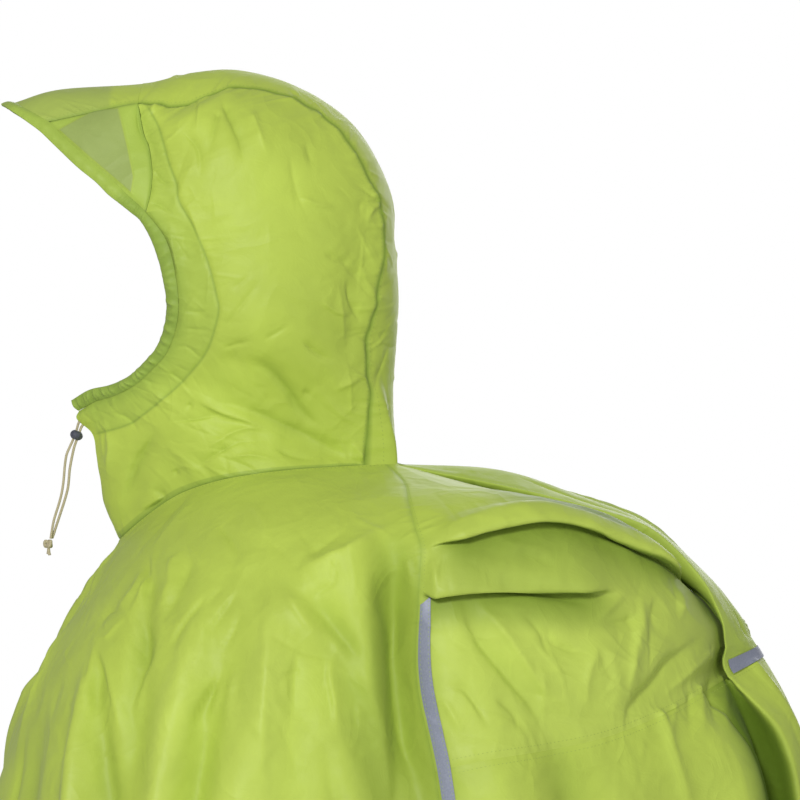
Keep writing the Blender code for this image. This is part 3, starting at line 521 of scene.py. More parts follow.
def hood_side_grid(stations, share, side=1):
    """One side panel's outer face, drawn on the left: from the face out to the crown and the neck."""
    inner = np.where(
        (stations <= TEMPLE - SIDE_ROOT)[:, None],
        brim_root(np.minimum(stations, TEMPLE - SIDE_ROOT)),
        tunnel_line(np.maximum(stations + SIDE_ROOT, TEMPLE)),
    )
    around = HOOD_CORNER * (THROAT - SIDE_ROOT - stations) / SIDE_ROOT
    crown = stations <= NECK_END - ROOT
    outer = np.where(
        crown[:, None],
        crown_seam(np.minimum(stations + ROOT, NECK_END)),
        neck_ring(np.clip(around, 0, HOOD_CORNER)),
    )
    corner = neck_ring(np.array((HOOD_CORNER,))) - crown_seam(np.array((float(NECK_END),)))
    settle = ease((stations - (NECK_END - ROOT - NECK_BLEND)) / NECK_BLEND)
    outer += (settle * crown)[:, None] * corner
    grid = between(inner, outer, share)
    power = 3 - 1.8 * fade_in(stations, CHEEK, 3)
    bend = share[None, :] ** power[:, None]
    width = inner[:, 0, None] + (outer[:, 0] - inner[:, 0])[:, None] * bend
    length = np.linalg.norm(outer - inner, axis=1)
    swell = HOOD_BULGE + (THROAT_BULGE - HOOD_BULGE) * fade_in(stations, CHEEK, 4)
    swell = swell * np.minimum(length / FULL_BULGE, 1) * ease((THROAT - SIDE_ROOT - stations) / 2.5)
    grid[:, :, 0] = width + swell[:, None] * np.sin(math.pi * share)[None, :]
    forward = read(THROAT_EDGE, share, MM)[:, 0]
    grid[:, :, 1] -= ease((stations - (THROAT - 7)) / 3)[:, None] ** 2 * forward
    inside = ease(np.minimum(share, 1 - share) / 0.12)[None, :]
    above = ease((THROAT - SIDE_ROOT - stations) / 0.5)[:, None]
    grid[:, :, 0] += side_folds(grid, side) * (inside * above)
    return grid


def brim_side_grid(stations, share):
    """The brim's left side: from the tunnel up to the centre panel and back to the brim's root."""
    inner = tunnel_line(stations + ROOT)
    outer = np.where(
        (stations <= ROOT)[:, None],
        crown_seam(np.minimum(stations, ROOT)),
        brim_root(np.maximum(stations - ROOT, 0)),
    )
    grid = between(inner, outer, share)
    length = np.linalg.norm(outer - inner, axis=1)
    swell = BRIM_BULGE * np.minimum(length / 0.05, 1)
    grid[:, :, 0] += swell[:, None] * np.sin(math.pi * share)[None, :]
    return grid


def tunnel_grid(stations, share):
    """The drawcord tunnel from its seam line to the rim. Stations below zero are on the right."""
    there = np.abs(stations)
    grid = between(tunnel_line(there), face_rim(there), share)
    grid[:, :, 0] *= np.where(stations < 0, -1, 1)[:, None]
    return grid


def outward(grid):
    """Unit directions square to a grid of points, from its neighbours along rows and columns."""
    out = np.cross(np.gradient(grid, axis=0), np.gradient(grid, axis=1))
    return out / np.linalg.norm(out, axis=2)[:, :, None]


def spread(edges, counts):
    """Numbers from edge to edge, each stretch cut into its own count of equal steps."""
    pieces = [np.linspace(a, b, n, endpoint=False) for a, b, n in zip(edges, edges[1:], counts)]
    return np.concatenate(pieces + [np.array((edges[-1],))])


def over_back(half):
    """Places from the left side over the back centre to the right side, from those on the left."""
    around = np.concatenate((half, 2 - half[-2::-1]))
    return np.where(around > 1, around - 2, around)


# ---------------------------------------------------------------------------------------------
# Creases. Most lines are drawn on the plane x = 0, as they look from well out on the wearer's left,
# from end to end. A rooted crease starts at full height, as from a seam. lean lifts the flank on the
# left of its run and sinks the other.

LOOK_FROM = (5.0, 0.10625, 0.05525)
# Each row: width, rise, lean, rooted, then the y and z of the line's points.
HOOD_CREASES = (
    (6, 3.0, 0.35, 0, -72, 58, -58, 50, -43, 43, -27, 38, -10, 31, 3, 25),
    (6, -2.4, 0.2, 0, -58, 59, -35, 50, -10, 40, 6, 33, 30, 22, 48, 13, 69, 3),
    (8, -2.0, 0.3, 0, -30, 91, -9, 79, 8, 61, 17, 47, 30, 37, 48, 28),
    (4, -2.6, 0.3, 0, -69, -4, -51, 8, -35, 17, -20, 22),
    (4, 2.6, 0.2, 0, -60, 12, -35, 27, -15, 30, -4, 21),
    (3, 2.2, 0.3, 0, -80, 0, -72, -3, -66, -8),
    (4, -2.2, 0, 0, -86, -3, -83, -11),
    (6, -2.6, 0.5, 0, -110, -20, -97, -28, -106, -35, -120, -41),
    (7, -2.4, 0.3, 0, -98, 33, -111, 17, -122, 1, -128, -24, -133, -42),
    (6, 2.2, 0, 0, -142, 31, -139, 15, -143, -14),
    (4, -2.0, 0.4, 0, -91, 36, -71, 38, -43, 43),
    (5, -2.0, 0, 0, -76, 52, -69, 49),
    (3, -1.2, 0.3, 0, -47, 98, -31, 102, -17, 105),
    (3, -1.0, 0.2, 0, -11, 105, 2, 112, 14, 120),
    (6, -1.6, 0, 0, 23, 62, 33, 58),
    (4, 1.9, 0.3, 0, 49, 62, 64, 69, 79, 76),
    (4, 1.8, 0, 0, 65, 19, 74, 8, 81, -1),
    (7, -1.6, 0.2, 1, -42, 302, -30, 273, -27, 246),
    (5, 1.3, 0.2, 1, -19, 296, -12, 277, -5, 259),
    (6, -1.3, 0, 1, -49, 297, -54, 277, -59, 259),
    (5, -1.1, 0, 0, 26, 276, 29, 264, 32, 251),
    (4, -1.6, 0.3, 1, 89, 226, 77, 234, 65, 242),
    (4, -1.6, -0.3, 1, 89, 224, 74, 222, 73, 209),
    (4, 1.3, 0, 1, 89, 223, 80, 213, 78, 198),
    (3, -0.9, 0.2, 0, -37, 148, -29, 155, -20, 162),
    (5, -1.6, 0.4, 0, 60, 159, 63, 139, 73, 118),
    (5, 1.6, 0, 0, -90, 207, -85, 179, -84, 152),
    (2.5, -1.3, 0, 0, -79, 131, -65, 130, -52, 132),
    (2.5, -1.3, 0, 0, -80, 116, -65, 115, -53, 114),
    (3, -2.2, 0.3, 0, -87, 98, -76, 100, -61, 88),
    (4, -2.2, 0.3, 1, -117, 303, -116, 288, -109, 271, -101, 260, -91, 255),
    (4, -1.6, 0.3, 0, -106, 254, -97, 241, -82, 236),
    (4, -1.6, 0.3, 0, -110, 224, -98, 220, -84, 210),
    (3, -1.2, 0.2, 0, -95, 79, -84, 74, -72, 62),
    (3, 1.4, 0.2, 0, -108, 65, -98, 57, -84, 48),
    (4, -1.6, 0.2, 0, -139, 45, -125, 38, -115, 25),
    (3, 1.2, 0.2, 0, -152, 40, -144, 30, -140, 16),
    (5, -1.4, 0.3, 0, 21, 106, 37, 93, 55, 86),
    (4, 1.2, 0.3, 0, 37, 140, 50, 130, 65, 125),
    (5, -1.4, 0.2, 0, -4, 16, 14, 8, 37, 3),
    (3, 1.2, 0, 0, -42, 6, -20, 8, 4, 3),
    (4, -1.3, 0.3, 0, 40, 181, 54, 173, 69, 171),
    (4, 1.1, 0.2, 0, 18, 229, 37, 220, 54, 220),
    (5, -1.0, 0.3, 0, -82, 286, -67, 268, -64, 241),
    (4, 0.9, 0, 0, -76, 225, -65, 195, -60, 166),
)
SHOULDER_CREASES = (
    (5, 3.6, 0.35, 0, -152, -139, -155, -159, -162, -200, -167, -230),
    (6, -3.2, 0.2, 0, -151, -149, -150, -173, -156, -205, -157, -234),
    (4, 2.4, 0.5, 0, -154, -150, -146, -171, -139, -201, -133, -232),
    (5, -2.4, 0.2, 0, -150, -140, -140, -125, -127, -127),
    (4, 2.0, 0.4, 0, -152, -144, -143, -147, -133, -136, -125, -127),
    (5, 3.0, 0.55, 0, -104, -69, -106, -94, -116, -113, -128, -130),
    (5, 2.2, 0.2, 0, -114, -81, -118, -101, -132, -120, -141, -128),
    (6, -2.6, -0.3, 0, -67, -20, -94, -48, -115, -74),
    (5, 2.2, 0.4, 0, -65, -23, -89, -50, -110, -77),
    (7, -3.0, 0.2, 0, -67, -74, -79, -95, -94, -127, -99, -144),
    (6, 2.8, 0.2, 0, -77, -71, -88, -83, -91, -101, -103, -125),
    (4, 2.4, 0, 0, -108, -86, -110, -103, -112, -133),
    (3, -1.8, 0.2, 0, -104, -81, -106, -106, -110, -127),
    (8, -3.4, 0.2, 0, -109, -132, -110, -159, -110, -183),
    (5, 3.0, 0.5, 0, -100, -145, -105, -169, -116, -203, -118, -232),
    (4, -2.2, 0.45, 0, -54, -103, -76, -130, -86, -147, -95, -164),
    (3, -1.6, 0.3, 0, -43, -102, -52, -111, -60, -121),
    (4, -2.4, 0.45, 0, -30, -104, -45, -124, -54, -137, -63, -154),
    (3, -1.8, 0.4, 0, -29, -118, -35, -139, -45, -159, -48, -169),
    (6, -2.8, 0.5, 0, -46, -158, -48, -179, -59, -197, -69, -217, -78, -245),
    (5, 2.2, 0.3, 0, -44, -166, -51, -200, -60, -232),
    (6, 1.4, 0.2, 0, -188, -176, -197, -203, -208, -234),
    (5, -1.2, 0, 0, -179, -173, -187, -200, -195, -230),
    (4, 1.2, 0, 0, -161, -173, -164, -191, -171, -212),
    (6, 1.2, 0.2, 0, -131, -67, -145, -94, -159, -123),
    (4, 1.8, 0.2, 0, 9, -7, 18, -13, 26, -23),
    (5, -1.8, 0.2, 1, 65, -3, 68, -14, 69, -26),
    (5, -2.0, 0.3, 1, 76, -1, 78, -13, 81, -25),
    (4, 1.6, 0, 1, 86, -1, 93, -13, 96, -26),
    (10, 2.6, 0.1, 0, 106, -48, 69, -71, 37, -83, 9, -96),
    (8, -1.8, 0.1, 0, 60, -54, 37, -71, 21, -81),
    (3, -1.0, 0, 0, 54, -77, 51, -91, 49, -105),
    (3, -1.0, 0, 0, 23, -72, 20, -91),
    (12, -4.2, 0.6, 0, 78, -68, 84, -104, 93, -142, 96, -176, 99, -230, 102, -330),
    (16, -3.4, 0.1, 0, 93, -62, 101, -115, 107, -157, 110, -200, 114, -300),
    (13, -2.6, 0.3, 0, 13, -101, 43, -134, 69, -165, 88, -188),
    (9, 2.2, 0.2, 0, 4, -103, 31, -142, 44, -157),
    (5, 2.8, 0.5, 0, 44, -156, 46, -181, 50, -205, 57, -234),
    (14, 2.6, 0, 0, -1, -92, -6, -150, -8, -230, -12, -320),
    (4, -1.0, 0, 0, 23, -173, 8, -181, 5, -195),
    (5, 1.8, 0.2, 0, 108, -74, 114, -93, 114, -113),
    (4, -1.8, 0, 0, 116, -77, 120, -98),
    (5, 2.0, 0.2, 0, 115, -133, 109, -154, 105, -176),
    (3, -1.8, 0.2, 0, 112, -137, 122, -134, 130, -133),
    (4, -2.0, 0.4, 0, 110, -174, 116, -203, 123, -230),
    (6, -1.2, 0.3, 0, -52, -47, -37, -67, -30, -89),
    (5, 1.0, 0, 0, -26, -30, -11, -47, -6, -71),
    (6, -1.2, 0.2, 0, 30, -115, 40, -106, 55, -99),
    (4, 1.2, 0.3, 0, -33, -166, -40, -200, -42, -232),
    (5, -1.4, 0.2, 0, 18, -149, 14, -191, 11, -232),
    (5, 1.2, 0.3, 0, 69, -200, 72, -218, 74, -237),
)
PACK_CREASES = (
    (5, 2.4, 0.3, 0, 130, -77, 134, -93, 133, -108),
    (4, -2.2, 0.4, 0, 144, -74, 140, -91, 138, -102),
    (6, -1.8, 0.2, 0, 201, -73, 226, -81, 247, -91),
    (5, 1.6, 0.2, 0, 191, -67, 215, -71, 239, -77),
    (7, -3.0, 0.4, 0, 162, -106, 183, -105, 234, -112, 276, -124),
    (6, 4.2, 0.3, 0, 272, -136, 286, -122, 303, -105),
    (7, 3.2, 0.3, 0, 301, -107, 308, -116, 309, -127, 304, -150, 299, -177, 298, -205),
    (15, 1.6, 0, 0, 258, -138, 280, -160, 288, -190, 284, -225),
    (6, -3.6, 0.3, 0, 312, -124, 297, -132, 275, -135),
    (10, -3.4, 0.3, 0, 156, -105, 162, -122, 172, -148, 196, -178, 218, -206, 235, -240),
    (7, 3.0, 0.2, 0, 167, -111, 190, -139, 218, -178, 244, -213),
    (4, -1.2, 0, 0, 232, -133, 237, -151, 268, -163),
    (6, -1.6, 0.2, 0, 183, -196, 202, -211, 210, -232),
    (5, -2.0, 0.4, 0, 145, -191, 159, -191, 173, -209, 182, -229),
    (5, 1.8, 0.2, 0, 139, -195, 148, -209, 159, -230),
    (10, -2.8, 0.35, 0, 368, -140, 350, -155, 333, -167, 320, -184, 304, -200, 290, -240),
    (6, 2.0, 0.2, 0, 375, -157, 361, -167, 341, -186, 329, -200),
    (4, 1.6, 0, 0, 368, -157, 371, -167),
    (5, -1.4, 0.2, 0, 268, -54, 306, -71, 334, -86),
    (4, 1.4, 0.2, 0, 268, -59, 304, -76, 320, -81),
    (5, -1.6, 0.2, 0, 324, -111, 319, -128, 322, -145),
    (5, 1.2, 0, 0, 341, -101, 346, -118, 343, -135),
    (6, 1.6, 0.1, 0, 273, -149, 263, -183, 266, -213),
    (5, -1.4, 0.2, 0, 208, -125, 225, -142, 232, -166),
    (4, 1.2, 0.2, 0, 125, -6, 137, -14, 150, -16),
    (4, -1.6, 0.3, 0, 139, -18, 148, -6, 154, -3),
    (5, 1.6, 0.2, 0, 154, -11, 166, -6, 178, -11),
    (5, 1.8, 0, 1, 361, -190, 363, -208, 365, -237),
    (5, -1.8, 0, 1, 370, -186, 373, -207, 375, -237),
    (5, 2.0, 0, 1, 378, -183, 383, -205, 385, -237),
    (4, -1.6, 0, 1, 353, -196, 353, -213, 353, -237),
    (4, 1.4, 0, 1, 341, -205, 337, -220, 334, -241),
)

# Creases of the front and the back, on the cloth laid flat: x is the share round the body times
# FLAT_ROUND and z the drop below the neck seam times FLAT_DROP, both as millimetres.
FLAT_ROUND = 0.9
FLAT_DROP = 1.1
FRONT_CREASES = (
    (7, -3.2, 0.2, 0, 18, -6, 26, -60, 52, -120, 70, -190),
    (6, 2.6, 0.3, 0, 30, -8, 48, -50, 84, -96, 112, -150),
    (8, 3.0, 0.2, 0, -12, -10, -22, -70, -30, -150, -34, -240),
    (6, -2.6, 0.2, 0, -34, -8, -58, -60, -88, -120, -96, -200),
    (9, -3.4, 0.1, 0, 6, -60, -2, -140, 4, -230, 10, -330),
    (7, 2.4, 0.4, 0, 54, -120, 66, -190, 74, -280, 78, -380),
    (7, -2.4, 0.4, 0, -60, -130, -70, -200, -84, -300),
    (10, 2.6, 0.1, 0, -8, -200, -16, -300, -14, -420),
    (9, -2.2, 0.2, 0, 90, -300, 96, -420, 88, -560),
    (9, 2.4, 0.1, 0, -110, -280, -118, -420, -108, -600),
    (12, -3.0, 0.1, 0, 180, -360, 186, -520, 200, -760),
    (12, -3.0, 0.1, 0, -200, -380, -196, -560, -210, -800),
    (11, 2.6, 0.1, 0, 300, -340, 292, -500, 310, -720),
    (11, 2.6, 0.1, 0, -330, -360, -320, -560, -336, -780),
    (10, -2.4, 0.2, 0, 430, -330, 440, -470, 432, -640),
    (8, 2.0, 0.3, 0, 560, -440, 572, -540, 566, -700),
    (8, -2.2, 0.2, 0, 660, -430, 650, -560, 668, -720),
    (7, 2.2, 0.2, 1, 730, -408, 726, -470, 738, -560),
    (7, -2.2, 0.2, 1, 800, -408, 806, -480, 800, -590),
    (7, 2.0, 0.2, 1, 870, -408, 866, -500, 872, -640),
    (6, -1.8, 0.2, 1, -870, -408, -862, -480, -870, -560),
    (7, 2.2, 0.2, 1, -760, -408, -752, -470, -764, -590),
    (8, -2.0, 0.2, 0, -640, -430, -652, -540, -636, -680),
    (9, 2.2, 0.2, 0, -540, -420, -552, -560, -540, -700),
    (5, -1.6, 0.3, 0, 880, -60, 868, -120, 880, -170),
    (5, 1.4, 0.3, 0, -884, -80, -872, -150, -884, -210),
    (5, -1.4, 0.3, 0, 890, -220, 876, -280, 886, -340),
    (4, 1.2, 0.3, 0, -878, -250, -890, -310, -880, -360),
)

# Small creases: how many, over which part of the plane, and the turn they keep near, in degrees
# Each row: count, low x, low z, high x, high z, turn, play
HOOD_SMALL = (
    (44, -130, -20, 60, 80, -32, 18),
    (22, 50, 20, 110, 220, -74, 20),
    (14, -100, 90, -50, 290, 80, 20),
    (8, -40, 130, 60, 290, -60, 30),
)
SHOULDER_SMALL = (
    (44, -190, -235, -60, -60, -75, 18),
    (40, -60, -235, 60, -20, -66, 24),
    (24, 40, -235, 130, -10, -80, 22),
)
PACK_SMALL = (
    (26, 125, -80, 330, -10, -14, 16),
    (34, 130, -235, 330, -90, -48, 30),
    (14, 290, -170, 370, -60, -60, 20),
)
BROAD_SMALL = (
    (150, -880, -1080, 880, -280, -88, 10),
    (40, -120, -280, 120, -10, -84, 24),
)

# Steps along a crease's line, how far it reaches in widths, and how it widens and grows with length
CREASE_STEPS = 40
CREASE_REACH = 3.4
CREASE_STEEPNESS = 4.5
CREST_FALL = 1.5
CREST_ROUND = 0.012
STEP_FALL = 0.9
STEP_HEIGHT = 1.2
CREASE_WIDENS = ((15, 40, 90), (0.8, 1.1, 1.6))
CREASE_GROWS = ((15, 40, 90), (0.9, 2.4, 3.7))
CREASE_STEEPEST = 0.6
# Shares of a crease's length over which it grows and dies away
FREE_STARTS, FREE_ENDS, ROOTED_ENDS = 0.35, 0.45, 0.7

# Crumple: how much of it each part has, and the turn of its crests in degrees
BODY_CRUMPLE, BODY_TURN = 0.9, -84
HOOD_CRUMPLE, HOOD_TURN, CENTRE_TURN = 0.55, -42, 80
# The side creases fade where the cloth turns away from the side
SIDE_ON_FROM, SIDE_ON_RUN = 0.1, 0.4

# Seams: the cloth sinks to them and puckers beside them
SEAM_SINK = 0.5 * MM
SEAM_WIDTH = 2.2 * MM
SEAM_TURN = 1.6 * MM
NECK_TURN = 0.8 * MM
PUCKER_PITCH = 8 * MM
PUCKER_REACH = 6 * MM
PUCKER_RISE = 0.75 * MM
# Creases grow from nothing over this far from a seam
SEAM_CLEAR = 6 * MM
SIDE_CLEAR = 4 * MM
BRIM_CLEAR = 5 * MM
HEM_DEPTH = 18 * MM
NECK_LAP = 0.5 * MM

# How far in or out the cloth stands for full painted shade or highlight, and by what share
HOLLOW, PAINTED_SHADE_SHARE = 18 * MM, 0.42
RIDGE, PAINTED_HIGHLIGHT_SHARE = 14 * MM, 0.4


def ruled(rows):
    """Crease rows with their lines as points."""
    return [(*row[:4], np.reshape(row[4:], (-1, 2))) for row in rows]


def small_creases(tables, seed):
    """Rows of small creases from seeded chance, as a table of how many go where."""
    chance = np.random.default_rng(seed)
    rows = []
    for count, low_x, low_z, high_x, high_z, turn, play in tables:
        for _ in range(count):
            start = np.array((chance.uniform(low_x, high_x), chance.uniform(low_z, high_z)))
            angle = math.radians(turn + chance.normal(0, play))
            bend = chance.normal(0, 0.25)
            length = chance.uniform(20, 75)
            first = np.array((math.cos(angle), math.sin(angle))) * length / 2
            last = np.array((math.cos(angle + bend), math.sin(angle + bend))) * length / 2
            line = (start, start + first, start + first + last)
            width = chance.uniform(2.0, 4.4)
            rise = chance.choice((-1, 1)) * chance.uniform(0.15, 0.5)
            rows.append((width, rise, chance.uniform(-0.5, 0.5), 0, line))
    return rows


def other_side(rows, seed):
    """The rows again for the wearer's right, each a little moved and with its own height."""
    chance = np.random.default_rng(seed)
    moved = []
    for width, rise, lean, rooted, line in ruled(rows):
        shift = chance.uniform(-12, 12, 2) * (0.3 if rooted else 1.0)
        width *= chance.uniform(0.85, 1.25)
        rise *= chance.uniform(0.7, 1.15)
        moved.append((width, rise, lean, rooted, line + shift))
    return moved


def seen(points):
    """Where points fall on the plane x = 0, looked at from the side that they are on."""
    scale = LOOK_FROM[0] / (LOOK_FROM[0] - np.abs(points[:, 0]))
    centre = np.array(LOOK_FROM[1:])
    return centre + (points[:, 1:] - centre) * scale[:, None]


def length_along(points):
    """Distance run along rows of points, from the first."""
    return np.concatenate(((0.0,), np.cumsum(np.linalg.norm(np.diff(points, axis=0), axis=1))))


def drawn(line, steps=CREASE_STEPS):
    """A smooth line through a table's points, in metres."""
    knots = np.array(line, float) * MM
    return through(np.arange(len(knots)), knots, np.linspace(0, len(knots) - 1, steps))


def beside(places, path):
    """How far each place is along a path and across it, and how far beyond its ends, in metres."""
    run = np.gradient(path, axis=0)
    run /= np.linalg.norm(run, axis=1)[:, None]
    reach = length_along(path)
    gaps = places[:, None, :] - path[None]
    best = (gaps**2).sum(2).argmin(1)
    gap = gaps[np.arange(len(best)), best]
    ahead = run[best]
    along = reach[best] + (gap * ahead).sum(1)
    across = ahead[:, 0] * gap[:, 1] - ahead[:, 1] * gap[:, 0]
    beyond = np.maximum(np.maximum(-along, along - reach[-1]), 0)
    return along, across, beyond


def crease_profile(across, lean):
    """The section of a crease: a crisp ridge, and a step where it leans."""
    crisp = np.exp(-CREST_FALL * (np.sqrt(across**2 + CREST_ROUND) - math.sqrt(CREST_ROUND)))
    step = np.tanh(CREASE_STEEPNESS * across) * np.exp(-STEP_FALL * np.abs(across))
    return (1 - abs(lean)) * crisp + STEP_HEIGHT * lean * step


def crease_height(places, rows):
    """How far creases stand out at places on the plane that they are drawn on."""
    height = np.zeros(len(places))
    for width, rise, lean, rooted, line in rows:
        path = drawn(line)
        length = length_along(path)[-1]
        width *= np.interp(length / MM, *CREASE_WIDENS)
        tall = min(abs(rise) * np.interp(length / MM, *CREASE_GROWS), CREASE_STEEPEST * width)
        rise = math.copysign(tall, rise)
        reach = CREASE_REACH * width * MM
        near = ((places > path.min(0) - reach) & (places < path.max(0) + reach)).all(1)
        if not near.any():
            continue
        along, across, beyond = beside(places[near], path)
        share = np.clip(along / length, 0, 1)
        wide = width * MM * (0.6 + 0.9 * share if rooted else 1.0)
        if rooted:
            grown = ease((1 - share) / ROOTED_ENDS)
        else:
            grown = ease(share / FREE_STARTS) * ease((1 - share) / FREE_ENDS)
        grown *= rise * MM * bell(beyond / wide)
        height[near] += grown * crease_profile(across / wide, lean)
    return height


# Crumple: crisp crests that wander over the cloth, long ones and short ones
# Each row: width, length, rise
CRUMPLE = ((46, 120, 2.6), (24, 60, 1.3), (12, 26, 0.5))
BEND_LENGTH, BEND_WIDTH, BEND_REACH = 90 * MM, 70 * MM, 30 * MM
CALM_CELL = 110 * MM
CALM_LEAST = 0.35


def crumple(places, turn, seed):
    """How far the crumple stands out at places in a plane, its crests near one turn in degrees."""
    angle = math.radians(turn)
    ahead = places @ np.array((math.cos(angle), math.sin(angle)))
    aside = places @ np.array((-math.sin(angle), math.cos(angle)))
    height = np.zeros(len(places))
    bend = noise(ahead / BEND_LENGTH, aside / BEND_WIDTH, seed) * BEND_REACH
    for order, (width, length, rise) in enumerate(CRUMPLE):
        wave = noise((aside + bend) / (width * MM), ahead / (length * MM), seed + 1 + order)
        height += rise * MM * (0.22 - np.sqrt(wave**2 + 0.0004))
    calm = noise(places[:, 0] / CALM_CELL, places[:, 1] / CALM_CELL, seed + 7)
    return height * (CALM_LEAST + (1 - CALM_LEAST) * ease(0.5 + 1.4 * calm))


def puckers(along, away, seed):
    """Short uneven ridges that stand square to a seam, along and away from it in metres."""
    chance = np.random.default_rng(seed)
    height = np.zeros(np.shape(along))
    places = np.arange(np.min(along), np.max(along) + PUCKER_PITCH, PUCKER_PITCH)
    for place in places:
        middle = place + chance.uniform(-0.35, 0.35) * PUCKER_PITCH
        width = chance.uniform(1.2, 2.6) * MM
        rise = chance.uniform(-0.6, 1.0) * PUCKER_RISE
        reach = chance.uniform(0.5, 1.5) * PUCKER_REACH
        slant = chance.uniform(-0.5, 0.5)
        line = middle + slant * away
        height += rise * bell((along - line) / width) * (away / reach) * np.exp(1 - away / reach)
    return height


def sink(away):
    return -SEAM_SINK * bell(away / SEAM_WIDTH)


def within(places, outline, soft):
    """1 inside a closed outline, falling to 0 across its edge over a soft width in millimetres."""
    corners = np.array(outline, float) * MM
    odd = np.zeros(len(places), bool)
    gap = np.full(len(places), np.inf)
    for start, end in zip(corners, np.roll(corners, -1, axis=0)):
        run = end - start
        crosses = (start[1] > places[:, 1]) != (end[1] > places[:, 1])
        level = start[0] + (places[:, 1] - start[1]) * run[0] / (run[1] if run[1] else 1e-9)
        odd ^= crosses & (places[:, 0] < level)
        along = np.clip((places - start) @ run / (run @ run), 0, 1)
        gap = np.minimum(gap, np.linalg.norm(places - start - along[:, None] * run, axis=1))
    return ease(0.5 + np.where(odd, gap, -gap) / (2 * soft * MM))


LEFT_ROWS = ruled(SHOULDER_CREASES + PACK_CREASES)
LEFT_ROWS += small_creases(SHOULDER_SMALL, 31) + small_creases(PACK_SMALL, 32)
RIGHT_ROWS = other_side(SHOULDER_CREASES + PACK_CREASES, 33)
RIGHT_ROWS += small_creases(SHOULDER_SMALL + PACK_SMALL, 34)
FLAT_ROWS = ruled(FRONT_CREASES) + small_creases(BROAD_SMALL, 35)
HOOD_ROWS = {1: ruled(HOOD_CREASES) + small_creases(HOOD_SMALL, 36)}
HOOD_ROWS[-1] = other_side(HOOD_CREASES, 37) + small_creases(HOOD_SMALL, 38)


def body_creases(points, out, around, drop):
    """How far the body's creases stand out at each point."""
    height = np.zeros(len(points))
    side_on = ease((np.abs(out[:, 0]) - SIDE_ON_FROM) / SIDE_ON_RUN)
    for there, rows in ((around >= 0, LEFT_ROWS), (around < 0, RIGHT_ROWS)):
        height[there] = crease_height(seen(points[there]), rows)
    flat = np.stack((around * FLAT_ROUND, -drop * FLAT_DROP), axis=1)
    height = height * side_on + crease_height(flat, FLAT_ROWS)
    rough = BODY_CRUMPLE * crumple(flat, BODY_TURN, 41)
    return height + rough * ease(drop / 0.12) * (0.4 + 0.6 * side_on)


# ---------------------------------------------------------------------------------------------
# Materials

# The seam tone also serves as painted shade beside the casing and in the tunnel's gathers.
# The tones "deep" and "dark" are painted shade and "light" is painted highlight.
# Each row: red, green, blue
TONES = {
    "single": (0.45, 0.57, 0.080),
    "double_and_shade": (0.37, 0.50, 0.075),
    "stiff": (0.31, 0.395, 0.112),
    "casing": (0.30, 0.42, 0.070),
    "seam": (0.24, 0.35, 0.055),
    "deep": (0.17, 0.26, 0.028),
    "dark": (0.10, 0.165, 0.014),
    "light": (0.51, 0.63, 0.11),
}


def tinted(shape, base, *layers):
    """Colours for a grid: a base tone, then each tone laid over it by its share."""
    tint = np.empty(shape + (3,))
    tint[:] = TONES[base]
    for tone, share in layers:
        tint += (np.array(TONES[tone]) - tint) * np.broadcast_to(share, shape)[..., None]
    return tint


def painted_shade_and_highlight(height):
    """Layers of painted shade down in the hollows of the cloth and painted highlight up on its ridges.
    """
    deep = PAINTED_SHADE_SHARE * ease(-height / HOLLOW)
    return ("deep", deep), ("light", PAINTED_HIGHLIGHT_SHARE * ease(height / RIDGE))


def new_material(name):
    made = bpy.data.materials.new(name)
    made.use_nodes = True
    return made, made.node_tree.nodes, made.node_tree.links


def node(nodes, kind, **values):
    made = nodes.new(kind)
    for key, value in values.items():
        if key in made.inputs:
            made.inputs[key].default_value = value
        else:
            setattr(made, key, value)
    return made


def colours_of(sockets):
    return [socket for socket in sockets if socket.type == "RGBA"]


def grain(nodes, links, **values):
    """A noise texture on the object's own places."""
    place = node(nodes, "ShaderNodeTexCoord")
    made = node(nodes, "ShaderNodeTexNoise", **values)
    links.new(place.outputs["Object"], made.inputs["Vector"])
    return made


def ranged(nodes, links, source, target, *limits):
    """Takes a node's Fac from one range to another, into a socket."""
    made = node(nodes, "ShaderNodeMapRange")
    for name, limit in zip(("From Min", "From Max", "To Min", "To Max"), limits):
        made.inputs[name].default_value = limit
    links.new(source.outputs["Fac"], made.inputs["Value"])
    links.new(made.outputs["Result"], target)


def bumped(nodes, links, height, target, **values):
    """Bumps a height's shape into a socket for a normal."""
    made = node(nodes, "ShaderNodeBump", **values)
    links.new(height, made.inputs["Height"])
    links.new(made.outputs["Normal"], target)
    return made.inputs["Normal"]


